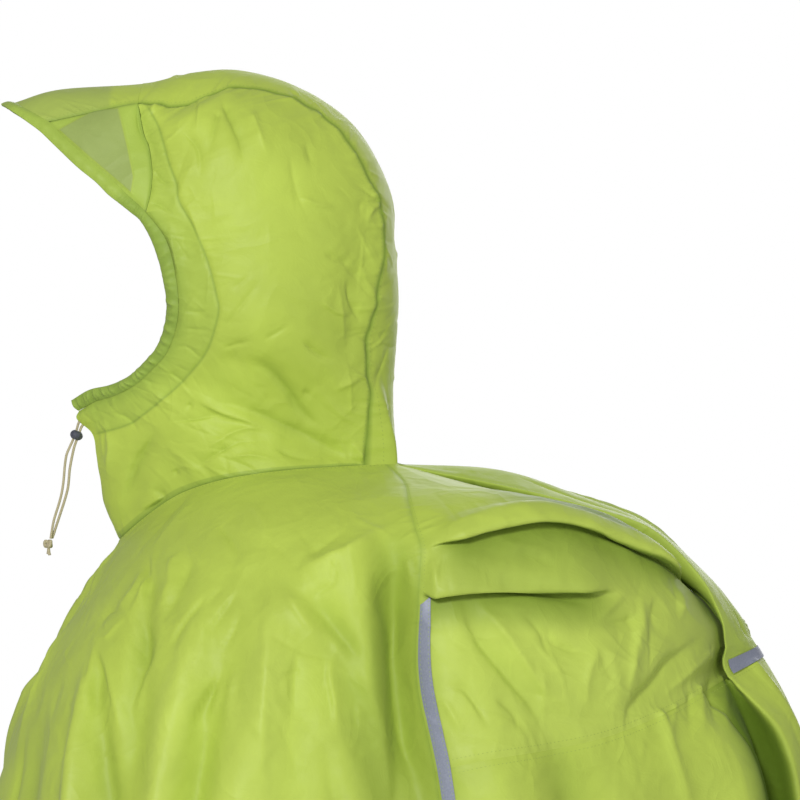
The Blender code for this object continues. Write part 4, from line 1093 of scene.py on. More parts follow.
def nylon(name):
    """Thin coated nylon: the cloth's tint with faint changes of tone, crumple and a tight weave."""
    made, nodes, links = new_material(name)
    shader = nodes["Principled BSDF"]
    shader.inputs["Sheen Weight"].default_value = 0.04
    shader.inputs["Sheen Roughness"].default_value = 0.5
    tint = node(nodes, "ShaderNodeAttribute", attribute_name="tint")
    # The shine follows the tint: less where it is darker, most of all under painted shade.
    ranged(nodes, links, tint, shader.inputs["Specular IOR Level"], 0.13, 0.33, 0.03, 0.27)
    tone = grain(nodes, links, Scale=11.0, Detail=4.0, Roughness=0.6)
    mix = node(nodes, "ShaderNodeMix", data_type="RGBA", blend_type="MULTIPLY", Factor=1.0)
    first, second = colours_of(mix.inputs)
    links.new(tint.outputs["Color"], first)
    ranged(nodes, links, tone, second, 0.3, 0.7, 0.90, 1.06)
    links.new(colours_of(mix.outputs)[0], shader.inputs["Base Color"])
    ranged(nodes, links, tone, shader.inputs["Roughness"], 0, 1, 0.44, 0.58)
    weave = grain(nodes, links, Scale=1100.0, Detail=1.0)
    folds = grain(nodes, links, Scale=17.0, Detail=2.0, Roughness=0.5, Distortion=0.7)
    broad = grain(nodes, links, Scale=30.0, Detail=4.0, Roughness=0.55, Distortion=1.2)
    # Sharp creases lie where the noise of the folds crosses its middle
    aside = node(nodes, "ShaderNodeMath", operation="SUBTRACT")
    aside.inputs[1].default_value = 0.5
    crest = node(nodes, "ShaderNodeMath", operation="ABSOLUTE")
    links.new(folds.outputs["Fac"], aside.inputs[0])
    links.new(aside.outputs["Value"], crest.inputs[0])
    fine = bumped(
        nodes, links, weave.outputs["Fac"], shader.inputs["Normal"], Strength=0.15, Distance=0.2 * MM
    )
    sharp = bumped(
        nodes, links, crest.outputs["Value"], fine, invert=True, Strength=0.5, Distance=9.0 * MM
    )
    bumped(nodes, links, broad.outputs["Fac"], sharp, Strength=0.3, Distance=2.4 * MM)
    return made


def speckled(name, tones, stops, roughness, **values):
    """A material with two tones in a grain, and its nodes, links and grain."""
    made, nodes, links = new_material(name)
    shader = nodes["Principled BSDF"]
    shader.inputs["Roughness"].default_value = roughness
    spots = grain(nodes, links, **values)
    ramp = node(nodes, "ShaderNodeValToRGB")
    for element, stop, tone in zip(ramp.color_ramp.elements, stops, tones):
        element.position = stop
        element.color = (*tone, 1)
    links.new(spots.outputs["Fac"], ramp.inputs["Fac"])
    links.new(ramp.outputs["Color"], shader.inputs["Base Color"])
    return made, nodes, links, spots


def plain_finish(name, colour, other, roughness, scale, bump, metallic=0.0):
    """A simple finish with two tones and a fine grain."""
    made, nodes, links, spots = speckled(
        name, (other, colour), (0.3, 0.7), roughness, Scale=scale, Detail=3.0
    )
    shader = nodes["Principled BSDF"]
    shader.inputs["Metallic"].default_value = metallic
    bumped(
        nodes, links, spots.outputs["Fac"], shader.inputs["Normal"], Strength=bump, Distance=0.3 * MM
    )
    return made


CLOTH = nylon("lime_nylon")
TAPE = plain_finish("reflective_tape", (0.27, 0.29, 0.37), (0.22, 0.24, 0.31), 0.5, 700.0, 0.2, 0.1)
CORD = plain_finish("cream_cord", (0.56, 0.50, 0.33), (0.38, 0.33, 0.20), 0.85, 1500.0, 0.9)
PLASTIC = plain_finish(
    "slate_plastic", (0.075, 0.08, 0.11), (0.055, 0.06, 0.085), 0.35, 400.0, 0.1
)
THREAD = plain_finish("lime_thread", (0.34, 0.45, 0.075), (0.27, 0.37, 0.06), 0.7, 2000.0, 0.4)

# ---------------------------------------------------------------------------------------------
# Pieces


def linked(name, data):
    item = bpy.data.objects.new(name, data)
    bpy.context.scene.collection.objects.link(item)
    return item


def mesh_piece(name, points, faces, finish, slot_name, *nodes, tint=None, crisp=None):
    """A piece from points and faces. Edges between two crisp points are sharp."""
    mesh = bpy.data.meshes.new(name)
    mesh.from_pydata(points, [], faces)
    mesh.shade_smooth()
    if crisp is not None:
        ends = np.empty(len(mesh.edges) * 2, np.int32)
        mesh.edges.foreach_get("vertices", ends)
        sharp = crisp.ravel()[ends.reshape(-1, 2)].all(1)
        mesh.attributes.new("sharp_edge", "BOOLEAN", "EDGE").data.foreach_set("value", sharp)
    mesh.materials.append(finish)
    if tint is not None:
        colours = np.ones((len(points), 4), np.float32)
        colours[:, :3] = tint.reshape(-1, 3)
        mesh.attributes.new("tint", "FLOAT_COLOR", "POINT").data.foreach_set("color", colours.ravel())
    item = linked(name, mesh)
    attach(item, "root")
    if nodes:
        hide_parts(*nodes)
    return item


def grid_faces(rows, columns):
    number = np.arange(rows * columns).reshape(rows, columns)
    corners = (number[:-1, :-1], number[1:, :-1], number[1:, 1:], number[:-1, 1:])
    return np.stack([corner.ravel() for corner in corners], axis=1)


def shell(name, grid, finish, slot_name, *nodes, tint=None, crisp=None):
    """An open sheet of cloth over a grid of points."""
    rows, columns = grid.shape[:2]
    faces = grid_faces(rows, columns).tolist()
    points = grid.reshape(-1, 3)
    return mesh_piece(name, points, faces, finish, slot_name, *nodes, tint=tint, crisp=crisp)


def turned(grid, out, tint, rows=(1, 1), columns=(1, 1), depth=SEAM_TURN):
    """The grid with its edges turned in to the seams, its colours, and its crisp border points."""
    pad = (rows, columns, (0, 0))
    grown = np.pad(grid, pad, mode="edge")
    inward = np.pad(out, pad, mode="edge") * depth
    edge = np.zeros(grown.shape[:2])
    edge[: rows[0]] = 1
    edge[grown.shape[0] - rows[1] :] = 1
    edge[:, : columns[0]] = 1
    edge[:, grown.shape[1] - columns[1] :] = 1
    border = np.zeros(edge.shape, bool)
    border[rows[0]] |= bool(rows[0])
    border[-1 - rows[1]] |= bool(rows[1])
    border[:, columns[0]] |= bool(columns[0])
    border[:, -1 - columns[1]] |= bool(columns[1])
    return grown - inward * edge[:, :, None], np.pad(tint, pad, mode="edge"), border & (edge == 0)


def cloth(name, grid, node_name, tint, crisp=None):
    return shell(name, grid, CLOTH, "lime_nylon", node_name, tint=tint, crisp=crisp)


STITCH = 2.6 * MM
STITCH_PITCH = 3.6 * MM
STITCH_RADIUS = 0.26 * MM
stitch_lines = []


def stitch(line, out, lift=0.1 * MM):
    """Remembers a line of sewing, with the cloth's outward directions along it."""
    stitch_lines.append((line + out * lift, out))


def stitch_rows(grid, out, *rows):
    for row in rows:
        stitch(grid[row], out[row])


def stitch_columns(grid, out, *columns):
    for column in columns:
        stitch(grid[:, column], out[:, column])


def at_run(place, run, rows):
    """Rows of three numbers, read at one place on the run along them."""
    return np.array([np.interp(place, run, column) for column in rows.T])


def sew(name, finish):
    """All remembered lines of sewing, as one mesh of small spindles."""
    points = []
    faces = []
    for line, out in stitch_lines:
        run = length_along(line)
        starts = np.arange(STITCH_PITCH / 2, run[-1] - STITCH, STITCH_PITCH)
        for start in starts:
            at = start + np.array((0, 0.5, 1)) * STITCH
            low, middle, high = (at_run(place, run, line) for place in at)
            up = at_run(at[1], run, out)
            side = np.cross(high - low, up)
            side /= np.linalg.norm(side) + 1e-12
            first = len(points)
            points += [
                low - up * STITCH_RADIUS, middle + side * STITCH_RADIUS, middle + up * STITCH_RADIUS,
                middle - side * STITCH_RADIUS, high - up * STITCH_RADIUS,
            ]
            faces += [
                (first, first + 1, first + 2), (first, first + 2, first + 3),
                (first + 4, first + 2, first + 1), (first + 4, first + 3, first + 2),
            ]
    return mesh_piece(name, np.array(points), faces, finish, "lime_nylon")


# ---------------------------------------------------------------------------------------------
# The body

FRONT_COLUMNS = (185, 120)
FRONT_ROWS = ((0.0, 0.004, 0.275, 0.42, 1.0), (2, 195, 40, 62))
BACK_ROWS = 206
BACK_STEPS = (0.59, 0.86, 0.947)
BACK_COLUMNS = (135, 34)
LOWER_ROWS = ((0.37, 0.5, 1.0), (56, 80))
LOWER_COLUMNS = (92, 58)
HEM_LINE = 1 - HEM_DEPTH / FLAT_DROP
TAPE_LIFT = 0.9 * MM
CALM_RUN = 0.02
# The back's painted shade and painted highlight: where each starts, and the run over which it grows
BEHIND_ROUND = (0.68, 0.12)
BEHIND_TOP = (0.05, 0.06)
BEHIND_FOOT = (0.172, 0.013)
LIT_BELOW = (0.17, 0.03)
# How deep folded-in cloth lies where its painted shade is full
VALLEY_DARK = 11 * MM
PLEAT_DEEP = 9 * MM
PLEAT_DARK = 16 * MM


def below_neck(drops):
    """0 at the neck, where the side seams don't pucker, growing to 1 below it."""
    return fade_in(drops, 0.06, 0.08)


def with_valley(out, drops):
    """How far cloth stands out at each drop, from its plain column and its column in the valley."""
    return out[None, :, 0] + read(VALLEY, drops) * out[None, :, 1]


def body_cloth(around, drop, extra=0.0):
    """The body's cloth with its creases, its outward directions, and how far it stands out."""
    around, drop, extra = np.broadcast_arrays(
        np.asarray(around, float), np.asarray(drop, float), np.asarray(extra, float)
    )
    points = body(around, drop, extra)
    out, _ = directions(around.ravel(), drop.ravel())
    height = body_creases(points.reshape(-1, 3), out, around.ravel(), drop.ravel())
    neck = drop.ravel() * FLAT_DROP
    height *= ease(neck / SEAM_CLEAR)
    height += NECK_LAP * bell(neck / SEAM_WIDTH)
    out = out.reshape(points.shape)
    stands = (fold_height(around.ravel(), drop.ravel()) + height).reshape(around.shape)
    return points + out * height.reshape(around.shape)[:, :, None], out, stands


def away_from(grid, column):
    """How far each point of a grid is from one of its columns."""
    return np.linalg.norm(grid - grid[:, column][:, None], axis=2)


def along_column(grid, column):
    """How far each point of a grid is along one of its columns."""
    return length_along(grid[:, column])[:, None] * np.ones(grid.shape[1])


def seam_shape(grid, out, column, seed, calm=1.0):
    """How a grid's cloth sinks to the seam along one of its edge columns, and puckers beside it."""
    away = away_from(grid, column)
    ripple = puckers(along_column(grid, column), away, seed)
    return out * (sink(away) + calm * ripple)[:, :, None]


def foot_shape(grid, out, row, seed):
    """The same for a seam along one of its edge rows."""
    return np.swapaxes(seam_shape(np.swapaxes(grid, 0, 1), np.swapaxes(out, 0, 1), row, seed), 0, 1)


def lip_shade(around, drop):
    """How deep each place lies under the lip of a cross pleat, from 0 to 1, for the painted shade
    there.
    """
    shade = np.zeros(np.broadcast(around, drop).shape)
    for side, line, first, grown, last, _, _ in PLEATS:
        there = pleat_share(around * side, first, grown, last)
        place = (drop - line) / PLEAT_WIDTH
        shade = np.maximum(shade, there * fade_in(place, 0.05, 0.1) * ease((2.5 - place) / 2.0))
    return shade


def make_front():
    left = np.linspace(0, SIDE_SEAM, FRONT_COLUMNS[0])
    right = np.linspace(-SIDE_SEAM, 0, FRONT_COLUMNS[1])
    around = np.concatenate((right[:-1], left))
    drops = spread(*FRONT_ROWS)
    grid, out, stands = body_cloth(around[None, :], drops[:, None])
    calm = below_neck(drops[:, None])
    grid += seam_shape(grid, out, 0, 11, calm) + seam_shape(grid, out, -1, 12, calm)
    hem = (drops > HEM_LINE)[:, None]
    seams = bell(np.minimum(away_from(grid, 0), away_from(grid, -1)) / SEAM_WIDTH)
    # Painted shade and highlight on the creases, the hem's double layer and the seams' darker band.
    tint = tinted(grid.shape[:2], "single", *painted_shade_and_highlight(stands), ("double_and_shade", hem), ("seam", 0.5 * seams))
    stitch_rows(grid, out, 1, -4)
    grid, tint, crisp = turned(grid, out, tint, depth=NECK_TURN)
    piece = cloth("cloth_front", grid, "front_panel", tint, crisp)


def make_back_sides():
    columns = spread(BACK_STEPS, BACK_COLUMNS)
    drops = np.linspace(0, BACK_SEAM, BACK_ROWS)
    sunk = with_valley(read(UNDER_TURN, columns, MM), drops)
    calm = (below_neck(drops) * (1 - ease((drops - TAPE_TOP) / CALM_RUN + 1)))[:, None]
    for name, side in SIDES:
        grid, out, stands = body_cloth(columns[None, :] * side, drops[:, None], sunk)
        grid += seam_shape(grid, out, 0, 13, calm) + foot_shape(grid, out, -1, 14)
        # Painted shade in the sunk valley and under the cross pleats' lips.
        valley = np.clip(-sunk / VALLEY_DARK, 0, 1)
        lip_shadow = lip_shade(columns[None, :] * side, drops[:, None])
        # Painted shade over the upper back beside the box pleat.
        behind = fade_in(drops, *BEHIND_TOP) * (1 - fade_in(drops, *BEHIND_FOOT))
        behind = behind[:, None] * fade_in(columns, *BEHIND_ROUND)[None, :]
        # Painted highlight on the lower back.
        below = fade_in(drops, *LIT_BELOW)[:, None]
        # The seam's own darker band.
        seams = 0.4 * bell(away_from(grid, 0) / SEAM_WIDTH)
        tint = tinted(
            grid.shape[:2], "single", *painted_shade_and_highlight(stands), ("light", 0.45 * below), ("dark", 0.85 * valley),
            ("deep", behind), ("deep", 0.85 * lip_shadow), ("seam", seams),
        )
        stitch_columns(grid, out, 2)
        stitch_rows(grid, out, -4)
        grid, tint, crisp = turned(grid, out, tint, columns=(1, 0))
        piece = cloth(f"cloth_back_{name}", grid, f"back_side_{name}", tint, crisp)


def make_back_centre():
    across = np.concatenate((np.linspace(1, BOX_FLAT, 16), np.linspace(BOX_FLAT, 0, 24)[1:]))
    half = read(BOX_PANEL, across)
    both = np.concatenate((half[:, 1:], half[-2::-1, 1:])) * MM
    drops = np.linspace(0, BACK_SEAM, BACK_ROWS)
    grid, out, _ = body_cloth(over_back(half[:, 0])[None, :], drops[:, None], with_valley(both, drops))
    grid += foot_shape(grid, out, -1, 15)
    turn = np.concatenate((across, across[-2::-1]))
    # Painted shade on the panel's turned-under edges.
    under = fade_in(turn, 0.84, 0.1)[None, :]
    # The whole panel half-way to the tone of two layers, partly its real second layer and partly
    # painted shade.
    tint = tinted(grid.shape[:2], "single", ("double_and_shade", 0.5), ("deep", under))
    stitch_rows(grid, out, -4)
    grid, tint, crisp = turned(grid, out, tint)
    piece = cloth("cloth_back_centre", grid, "back_centre", tint, crisp)


def make_back_lower():
    fine = read(OPEN_PLEAT, np.linspace(OPEN_FROM, 1, LOWER_COLUMNS[1]))
    plain = np.linspace(SIDE_SEAM, OPEN_FROM, LOWER_COLUMNS[0])[:-1]
    half = np.concatenate((plain, fine[:, 0]))
    depth = np.concatenate((np.zeros(len(plain)), fine[:, 1] * MM))
    drops = spread(*LOWER_ROWS)
    # The pleat starts under the panel, springs open below the seam and flattens out to the hem
    opening = 0.38 + 1.12 * fade_in(drops, BACK_SEAM, 0.07) - 0.7 * fade_in(drops, 0.5, 0.5)
    sunk = opening[:, None] * np.concatenate((depth, depth[-2::-1]))[None, :]
    grid, out, stands = body_cloth(over_back(half)[None, :], drops[:, None], sunk)
    sides = seam_shape(grid, out, 0, 16, 0.0) + seam_shape(grid, out, -1, 17, 0.0)
    grid += sides + foot_shape(grid, out, 0, 18)
    hem = (drops > HEM_LINE)[:, None]
    # Painted shade and highlight on the creases, the hem's double layer, and painted shade deep in the
    # open pleat.
    tint = tinted(
        grid.shape[:2], "single", *painted_shade_and_highlight(stands), ("double_and_shade", hem),
        ("deep", np.clip(-sunk / PLEAT_DEEP, 0, 1)), ("dark", ease(-sunk / PLEAT_DARK)),
    )
    stitch_rows(grid, out, 2, -4)
    grid, tint, crisp = turned(grid, out, tint)
    piece = cloth("cloth_back_lower", grid, "back_lower", tint, crisp)


def make_tapes():
    """The tapes lie just outside the cloth, down each side seam and across the box pleat's foot."""
    drops = spread((TAPE_TOP, 0.4, 1.0), (110, 130))
    columns = np.concatenate(((SIDE_SEAM,), np.linspace(*TAPE_EDGES, 7)))
    for name, side in SIDES:
        grid, out, _ = body_cloth(columns[None, :] * side, drops[:, None], TAPE_LIFT)
        grid += seam_shape(grid, out, 0, 13, 0.0)
        grid, out = grid[:, 1:], out[:, 1:]
        piece = shell(f"reflective_tape_{name}", grid, TAPE, "reflective_tape", f"tape_{name}")
        stitch_columns(grid, out, 1, -2)
    half = read(BOX_PANEL, np.linspace(BOX_FLAT, 0, 24))
    raised = np.concatenate((half[:, 1], half[-2::-1, 1])) * MM + TAPE_LIFT
    rows = np.linspace(*BACK_TAPE, 6)
    grid, out, _ = body_cloth(over_back(half[:, 0])[None, :], rows[:, None], raised[None, :])
    piece = shell("reflective_tape_back", grid, TAPE, "reflective_tape", "tape_back")


# ---------------------------------------------------------------------------------------------
# The hood

# The facing inside the hood is sewn through along this line, and the brim's stiffener lies inside
# this outline, both on the same plane as the creases.
FACING_LINE = (
    (-107, 303), (-99, 287), (-91, 259), (-84, 239), (-81, 223), (-68, 201), (-57, 172), (-50, 145),
    (-48, 131), (-53, 110), (-58, 97), (-67, 84), (-84, 66), (-103, 50), (-124, 35), (-149, 27),
)
STIFFENER = (
    (-184, 285), (-154, 301), (-133, 303), (-125, 269),
    (-120, 245), (-122, 231), (-131, 239), (-158, 262),
)
STIFFENER_FRONT = -138 * MM
STIFFENER_FADE = 6 * MM
STIFFENER_RISE = 0.9 * MM
FACING_FADE = 4 * MM
FACING_WIDTH = 1.1 * MM
CASING_SHADE = 9 * MM
CROWN_BAND = 3.0 * MM
NECK_BAND = 6.5 * MM
HOOD_STATIONS = {1: (300, 120), -1: (220, 90)}
HOOD_SHARES = {1: 190, -1: 130}
CROWN_POINTS = 91


def sewn_line(grid, line, steps):
    """Where a line on the crease plane falls on a grid on the left, seen from the side."""
    rows, columns = grid.shape[:2]
    tree = BVHTree.FromPolygons(grid.reshape(-1, 3).tolist(), grid_faces(rows, columns).tolist())
    eye = Vector(LOOK_FROM)
    spots = []
    for y, z in drawn(line, steps):
        spot, normal, _, _ = tree.ray_cast(eye, (Vector((0, y, z)) - eye).normalized())
        if spot is not None:
            spots.append((*spot, *(normal if normal.x > 0 else -normal)))
    spots = np.array(spots)
    return spots[:, :3], spots[:, 3:]


def make_hood_sides():
    for name, side in SIDES:
        stations = spread((0.02, 10, 14), HOOD_STATIONS[side])
        grid = hood_side_grid(stations, np.linspace(0, 1, HOOD_SHARES[side]), side)
        grid[-1, :, 0] = 0
        out = outward(grid)
        out[-1, :, 0] = 0
        places = seen(grid.reshape(-1, 3))
        shape = grid.shape[:2]
        height = crease_height(places, HOOD_ROWS[side]).reshape(shape)
        low = 1 - ease((places[:, 1] - 0.06) / 0.1)
        height += (HOOD_CRUMPLE * (0.5 + low) * crumple(places, HOOD_TURN, 42 + side)).reshape(shape)
        crown = away_from(grid, -1)
        face = away_from(grid, 0)
        height *= ease(crown / SIDE_CLEAR) * ease(face / SIDE_CLEAR)
        facing = drawn(FACING_LINE, 120)
        along, across, beyond = (value.reshape(shape) for value in beside(places, facing))
        fade = bell(beyond / FACING_FADE)
        away = np.abs(across)
        height += fade * (1.6 * sink(away) + 0.8 * puckers(along, away, 27))
        grid += out * height[:, :, None]
        # Painted shade in the creases' hollows and painted highlight on their ridges.
        tones = painted_shade_and_highlight(1.8 * height)
        at_neck = (stations > NECK_END - ROOT)[:, None]
        crown_seams = seam_shape(grid, out, -1, 21, np.where(at_neck, 0.9, 1.9))
        grid += crown_seams + seam_shape(grid, out, 0, 22, 1.1)
        lined = fade * ease(-across / MM + 0.5)
        # Painted shade on the cloth beside the casing.
        painted_casing_shade = bell(face / CASING_SHADE) * (stations > TEMPLE - SIDE_ROOT)[:, None]
        line = fade * bell(across / FACING_WIDTH)
        band = at_neck * ease((NECK_BAND - crown) / MM) * ease(crown / MM)
        edge = bell(crown / CROWN_BAND)
        # Painted shade right in the crown seam's groove, beside the seam's own darker band.
        tint = tinted(
            shape, "single", *tones, ("double_and_shade", 0.55 * lined), ("seam", 0.5 * painted_casing_shade),
            ("seam", 0.6 * line), ("seam", 0.45 * band), ("seam", 0.8 * edge), ("deep", 0.5 * edge**4),
        )
        turn = np.where(side > 0, 1, MIRROR)
        spots, square = sewn_line(grid, FACING_LINE, 160)
        stitch(spots * turn, square * turn)
        grid, out = grid * turn, out * turn
        stitch_columns(grid, out, -4)
        grid, tint, crisp = turned(grid, out, tint, depth=NECK_TURN)
        piece = cloth(f"cloth_hood_{name}", grid, f"hood_side_{name}", tint, crisp)


def crown_shape(grid, out, seed):
    """The seams down both edges of the centre panel, and how near each point is to them."""
    shape = seam_shape(grid, out, 0, seed, 1.7) + seam_shape(grid, out, -1, seed + 1, 1.7)
    return shape, bell(np.minimum(away_from(grid, 0), away_from(grid, -1)) / CROWN_BAND)


def centre_creases(grid):
    """How far the small creases of the centre panel stand out, laid flat along its length."""
    along = along_column(grid, grid.shape[1] // 2)
    flat = np.stack((along.ravel(), grid[:, :, 0].ravel()), axis=1)
    height = crease_height(flat, CENTRE_ROWS) + HOOD_CRUMPLE * crumple(flat, CENTRE_TURN, 45)
    return height.reshape(grid.shape[:2])


CENTRE_SMALL = ((44, 0, -50, 460, 50, 84, 26),)
CENTRE_ROWS = small_creases(CENTRE_SMALL, 39)


def make_hood_centre():
    grid = centre_grid(np.linspace(ROOT, NECK_END, 330), np.linspace(1, -1, CROWN_POINTS))
    out = outward(grid)
    seams, edge = crown_shape(grid, out, 23)
    inside_edge = ease(np.minimum(away_from(grid, 0), away_from(grid, -1)) / SEAM_CLEAR)
    grid += seams + out * (centre_creases(grid) * inside_edge)[:, :, None]
    # The seams' own darker band, with painted shade right in their groove.
    tint = tinted(grid.shape[:2], "single", ("seam", 0.8 * edge), ("deep", 0.5 * edge**4))
    stitch_columns(grid, out, 3, -4)
    grid, tint, crisp = turned(grid, out, tint)
    piece = cloth("cloth_hood_centre", grid, "hood_centre", tint, crisp)


DOUBLED_DEPTH = 2.2 * MM
BRIM_STATIONS = (0.02, 6.98, 220)
BRIM_SHARES = 80


def doubled(grid, out, tint, axis):
    """Cloth folded over: the grid with its inner layer after it, and their colours."""
    inner = np.flip(grid - out * DOUBLED_DEPTH, axis)
    # The inner layer takes the casing's tone with painted shade.
    under = tinted(grid.shape[:2], "casing", ("deep", 0.3))
    return np.concatenate((grid, inner), axis), np.concatenate((tint, under), axis)


def make_brim():
    grid = centre_grid(np.linspace(0, ROOT, 100), np.linspace(1, -1, CROWN_POINTS))
    out = outward(grid)
    seams, edge = crown_shape(grid, out, 25)
    stiff = ease((STIFFENER_FRONT - grid[:, :, 1]) / STIFFENER_FADE + 0.5)
    grid += seams
    tint = tinted(grid.shape[:2], "single", ("stiff", 0.45 * stiff), ("seam", 0.7 * edge))
    stitch_columns(grid, out, 3, -4)
    both, tint = doubled(grid, out, tint, 0)
    piece = cloth("cloth_brim_centre", both, "brim_centre", tint)
    stations = np.linspace(*BRIM_STATIONS)
    share = np.linspace(0, 1, BRIM_SHARES)
    for name, side in SIDES:
        grid = brim_side_grid(stations, share)
        out = outward(grid)
        places = seen(grid.reshape(-1, 3))
        shape = grid.shape[:2]
        stiff = within(places, STIFFENER, 1.2).reshape(shape)
        inner = away_from(grid, 0)
        outer = away_from(grid, -1)
        height = crease_height(places, HOOD_ROWS[side]).reshape(shape)
        height *= ease(inner / BRIM_CLEAR) * ease(outer / BRIM_CLEAR) * (1 - 0.7 * stiff)
        height += STIFFENER_RISE * stiff + sink(inner) + sink(outer)
        grid += out * height[:, :, None]
        edge = bell(outer / CROWN_BAND)
        # A painted highlight along the stiffener's edge.
        rim = bell((stiff - 0.5) / 0.3)
        tint = tinted(shape, "double_and_shade", ("stiff", stiff), ("single", 0.7 * rim), ("seam", 0.7 * edge))
        turn = np.where(side > 0, 1, MIRROR)
        grid, out = grid * turn, out * turn
        both, tint = doubled(grid, out, tint, 1)
        piece = cloth(f"cloth_brim_{name}", both, f"brim_side_{name}", tint)


# The tunnel's gathers: from one station to another, their pitch in stations and their height
# Each row: from, to, pitch, rise
GATHERS = (
    (0.4, 2.0, 0.5, 0.25), (2.2, 7.0, 0.55, 0.3), (7.0, 10.4, 0.30, 0.6), (10.4, 18.0, 0.26, 1.1),
)
TUNNEL_FINE = 8  # the station from which the tunnel is drawn finer
TUNNEL_SHARES = 15
GATHER_SEED = 5


def make_tunnel():
    half = spread((0, TUNNEL_FINE, THROAT), (120, 299))
    stations = np.concatenate((half[::-1], -half[1:]))
    share = np.linspace(0, 1, TUNNEL_SHARES)
    grid = tunnel_grid(stations, share)
    out = outward(grid)
    chance = np.random.default_rng(GATHER_SEED)
    wave = np.zeros(grid.shape[:2])
    for first, last, pitch, rise in GATHERS:
        for place in np.arange(first, last, pitch):
            for sign in (1, -1):
                middle = sign * (place + chance.uniform(-0.3, 0.3) * pitch)
                slant = chance.uniform(-0.5, 0.5) * pitch
                width = chance.uniform(0.22, 0.34) * pitch
                ridge = bell((stations[:, None] - middle - slant * share[None, :]) / width)
                wave += rise * chance.uniform(0.5, 1.2) * ridge
    puff = np.sin(math.pi * share)[None, :]
    grid += out * (puff * CASING_PUFF + wave * (0.8 * puff + 0.4 * share) * GATHER_HEIGHT)[:, :, None]
    out = outward(grid)
    out[[0, -1], :, 0] = 0
    front = np.broadcast_to(ease((TEMPLE - 1.5 - np.abs(stations)[:, None]) / 1.4), wave.shape)
    # Painted shade in the troughs between the gathers.
    painted_trough_shade = np.clip(1 - wave, 0, 1) * (1 - front)
    tint = tinted(grid.shape[:2], "casing", ("double_and_shade", 0.8 * front), ("seam", 0.6 * painted_trough_shade))
    both, tint = doubled(grid, out, tint, 1)
    piece = cloth("cloth_tunnel", both, "drawcord_tunnel", tint)


# ---------------------------------------------------------------------------------------------
# The drawcord

KNOT_LOOP = (1.55 * MM, 1.5 * MM)
KNOT_CORD = 1.5 * MM
KNOT_SIDES = 8
KNOT_STEPS = 96
TAIL_STEPS = 12
STRAND_STEPS = 60
KNOT_MIDDLE = (0.0, -192.4, -67.0)
# Each row: x, y, z, radius
TAILS = (
    ((0.4, -192.2, -70.0, 1.1), (0.9, -192.0, -73.5, 1.15), (1.3, -191.5, -76.6, 1.3)),
    ((-0.4, -192.6, -70.0, 1.1), (-0.8, -192.9, -73.0, 1.15), (-1.2, -193.2, -75.6, 1.25)),
)


def tube(line, radius, sides, closed):
    """A round tube along a line, as points and faces."""
    if closed:
        ahead = np.roll(line, -1, axis=0) - np.roll(line, 1, axis=0)
    else:
        ahead = np.gradient(line, axis=0)
    ahead /= np.linalg.norm(ahead, axis=1)[:, None]
    side = np.cross(ahead, np.array((0.35, 0.2, 0.92)))
    side /= np.linalg.norm(side, axis=1)[:, None]
    top = np.cross(side, ahead)
    turn = np.linspace(0, 2 * math.pi, sides, endpoint=False)
    radius = np.broadcast_to(radius, len(line))[:, None, None]
    rings = line[:, None] + radius * (
        side[:, None] * np.cos(turn)[None, :, None] + top[:, None] * np.sin(turn)[None, :, None]
    )
    count = len(line)
    faces = []
    for row in range(count if closed else count - 1):
        for column in range(sides):
            beyond = (column + 1) % sides
            low = row * sides
            high = (row + 1) % count * sides
            faces.append((low + column, low + beyond, high + beyond, high + column))
    if not closed:
        faces += [tuple(range(sides))[::-1], tuple(range((count - 1) * sides, count * sides))]
    return rings.reshape(-1, 3), faces


def make_knot():
    """A wrapped knot of the two strands, with their two short ends."""
    turn = np.linspace(0, 2 * math.pi, KNOT_STEPS, endpoint=False)
    across, along = KNOT_LOOP
    loop = np.stack(
        (
            across * (np.sin(turn) + 1.15 * np.sin(2 * turn)) * 0.85,
            across * (np.cos(turn) - 1.15 * np.cos(2 * turn)),
            -along * 1.5 * np.sin(3 * turn),
        ),
        axis=1,
    )
    points, faces = tube(loop + np.array(KNOT_MIDDLE) * MM, KNOT_CORD, KNOT_SIDES, True)
    for tail in TAILS:
        rows = np.array(tail)
        line = drawn(rows[:, :3], TAIL_STEPS)
        steps = np.linspace(0, len(rows) - 1, TAIL_STEPS)
        radius = np.interp(steps, np.arange(len(rows)), rows[:, 3]) * MM
        more, sides = tube(line, radius, KNOT_SIDES, False)
        faces += [tuple(corner + len(points) for corner in face) for face in sides]
        points = np.concatenate((points, more))
    return mesh_piece("cord_knot_wrapped", points, faces, CORD, "cream_cord", "cord_knot")


def make_strand(name, route, node_name):
    line = drawn(route, STRAND_STEPS)
    curve = bpy.data.curves.new(name, "CURVE")
    curve.dimensions = "3D"
    curve.bevel_depth = CORD_DIAMETER / 2
    curve.bevel_resolution = 3
    curve.use_fill_caps = True
    spline = curve.splines.new("POLY")
    spline.points.add(len(line) - 1)
    for point, place in zip(spline.points, line):
        point.co = (*place, 1)
    curve.materials.append(CORD)
    item = linked(name, curve)
    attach(item, "root")
    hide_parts(node_name)


def make_cord():
    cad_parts["cord_lock"].data.materials[0] = PLASTIC
    pieces = ["cord_lock", make_knot()]
    make_strand("cord_left", LEFT_STRAND, "drawcord_left")
    make_strand("cord_right", RIGHT_STRAND, "drawcord_right")


# ---------------------------------------------------------------------------------------------
# Floor, light and camera

VIEW_WIDTH = 0.68
SENSOR = 36.0
FLOOR_Z = -1.45
FLOOR_RADIUS = 8
FLOOR_CORNERS = 64
SOFT_LIGHT = 0.36


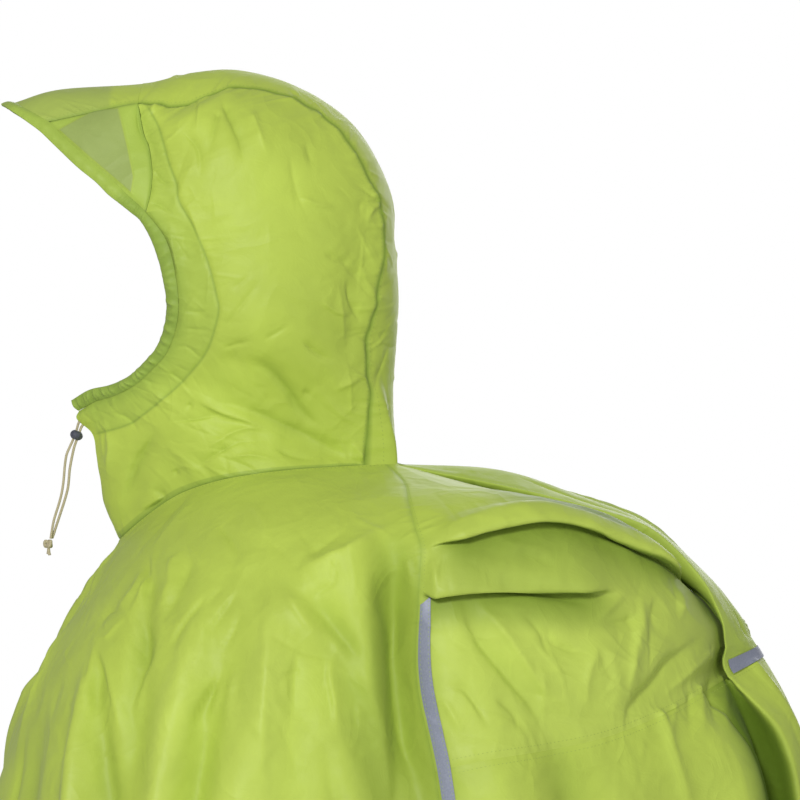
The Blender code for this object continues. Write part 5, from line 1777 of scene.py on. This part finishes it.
def make_stage():
    """A pale floor, soft light from all round, and white where the camera sees past everything."""
    greys = ((0.80, 0.80, 0.80), (0.84, 0.84, 0.84))
    made = speckled("pale_floor", greys, (0, 1), 0.9, Scale=3.0)[0]
    mesh = bpy.data.meshes.new("floor")
    turn = np.linspace(0, 2 * math.pi, FLOOR_CORNERS, endpoint=False)
    ring = [(FLOOR_RADIUS * math.cos(a), FLOOR_RADIUS * math.sin(a), FLOOR_Z) for a in turn]
    mesh.from_pydata(ring, [], [tuple(range(FLOOR_CORNERS))])
    mesh.materials.append(made)
    floor = linked("floor", mesh)
    world = bpy.data.worlds.new("studio")
    world.use_nodes = True
    bpy.context.scene.world = world
    tree = world.node_tree
    soft = tree.nodes["Background"]
    white = tree.nodes.new("ShaderNodeBackground")
    for shader, strength in ((soft, SOFT_LIGHT), (white, 1.0)):
        shader.inputs["Color"].default_value = (1, 1, 1, 1)
        shader.inputs["Strength"].default_value = strength
    path = tree.nodes.new("ShaderNodeLightPath")
    either = tree.nodes.new("ShaderNodeMixShader")
    tree.links.new(path.outputs["Is Camera Ray"], either.inputs["Fac"])
    tree.links.new(soft.outputs[0], either.inputs[1])
    tree.links.new(white.outputs[0], either.inputs[2])
    tree.links.new(either.outputs[0], tree.nodes["World Output"].inputs["Surface"])


LAMPS_AIM = Vector((0, 0.1, 0))
# Each row: name, x, y, z, size, watts
LIGHTS = (
    ("key", 4.4, -1.0, 1.7, 0.8, 140),
    ("fill", 3.2, 3.6, 0.6, 2.4, 24),
    ("back", -3.4, 1.0, 1.0, 2.4, 45),
)


def make_lights():
    for name, x, y, z, size, watts in LIGHTS:
        lamp = bpy.data.lights.new(name, "AREA")
        lamp.size = size
        lamp.energy = watts
        item = linked(name, lamp)
        item.location = (x, y, z)
        ahead = LAMPS_AIM - item.location
        item.rotation_euler = ahead.to_track_quat("-Z", "Y").to_euler()


def make_camera():
    lens = bpy.data.cameras.new("camera")
    lens.sensor_width = SENSOR
    lens.lens = SENSOR * LOOK_FROM[0] / VIEW_WIDTH
    item = linked("camera", lens)
    item.location = LOOK_FROM
    item.rotation_euler = (math.pi / 2, 0, math.pi / 2)
    bpy.context.scene.camera = item


make_camera()
make_lights()
make_stage()
make_cord()
make_front()
make_back_sides()
make_back_centre()
make_back_lower()
make_tapes()
make_hood_sides()
make_hood_centre()
make_brim()
make_tunnel()
sew("sewing", THREAD)
bpy.context.scene.view_settings.view_transform = "Standard"
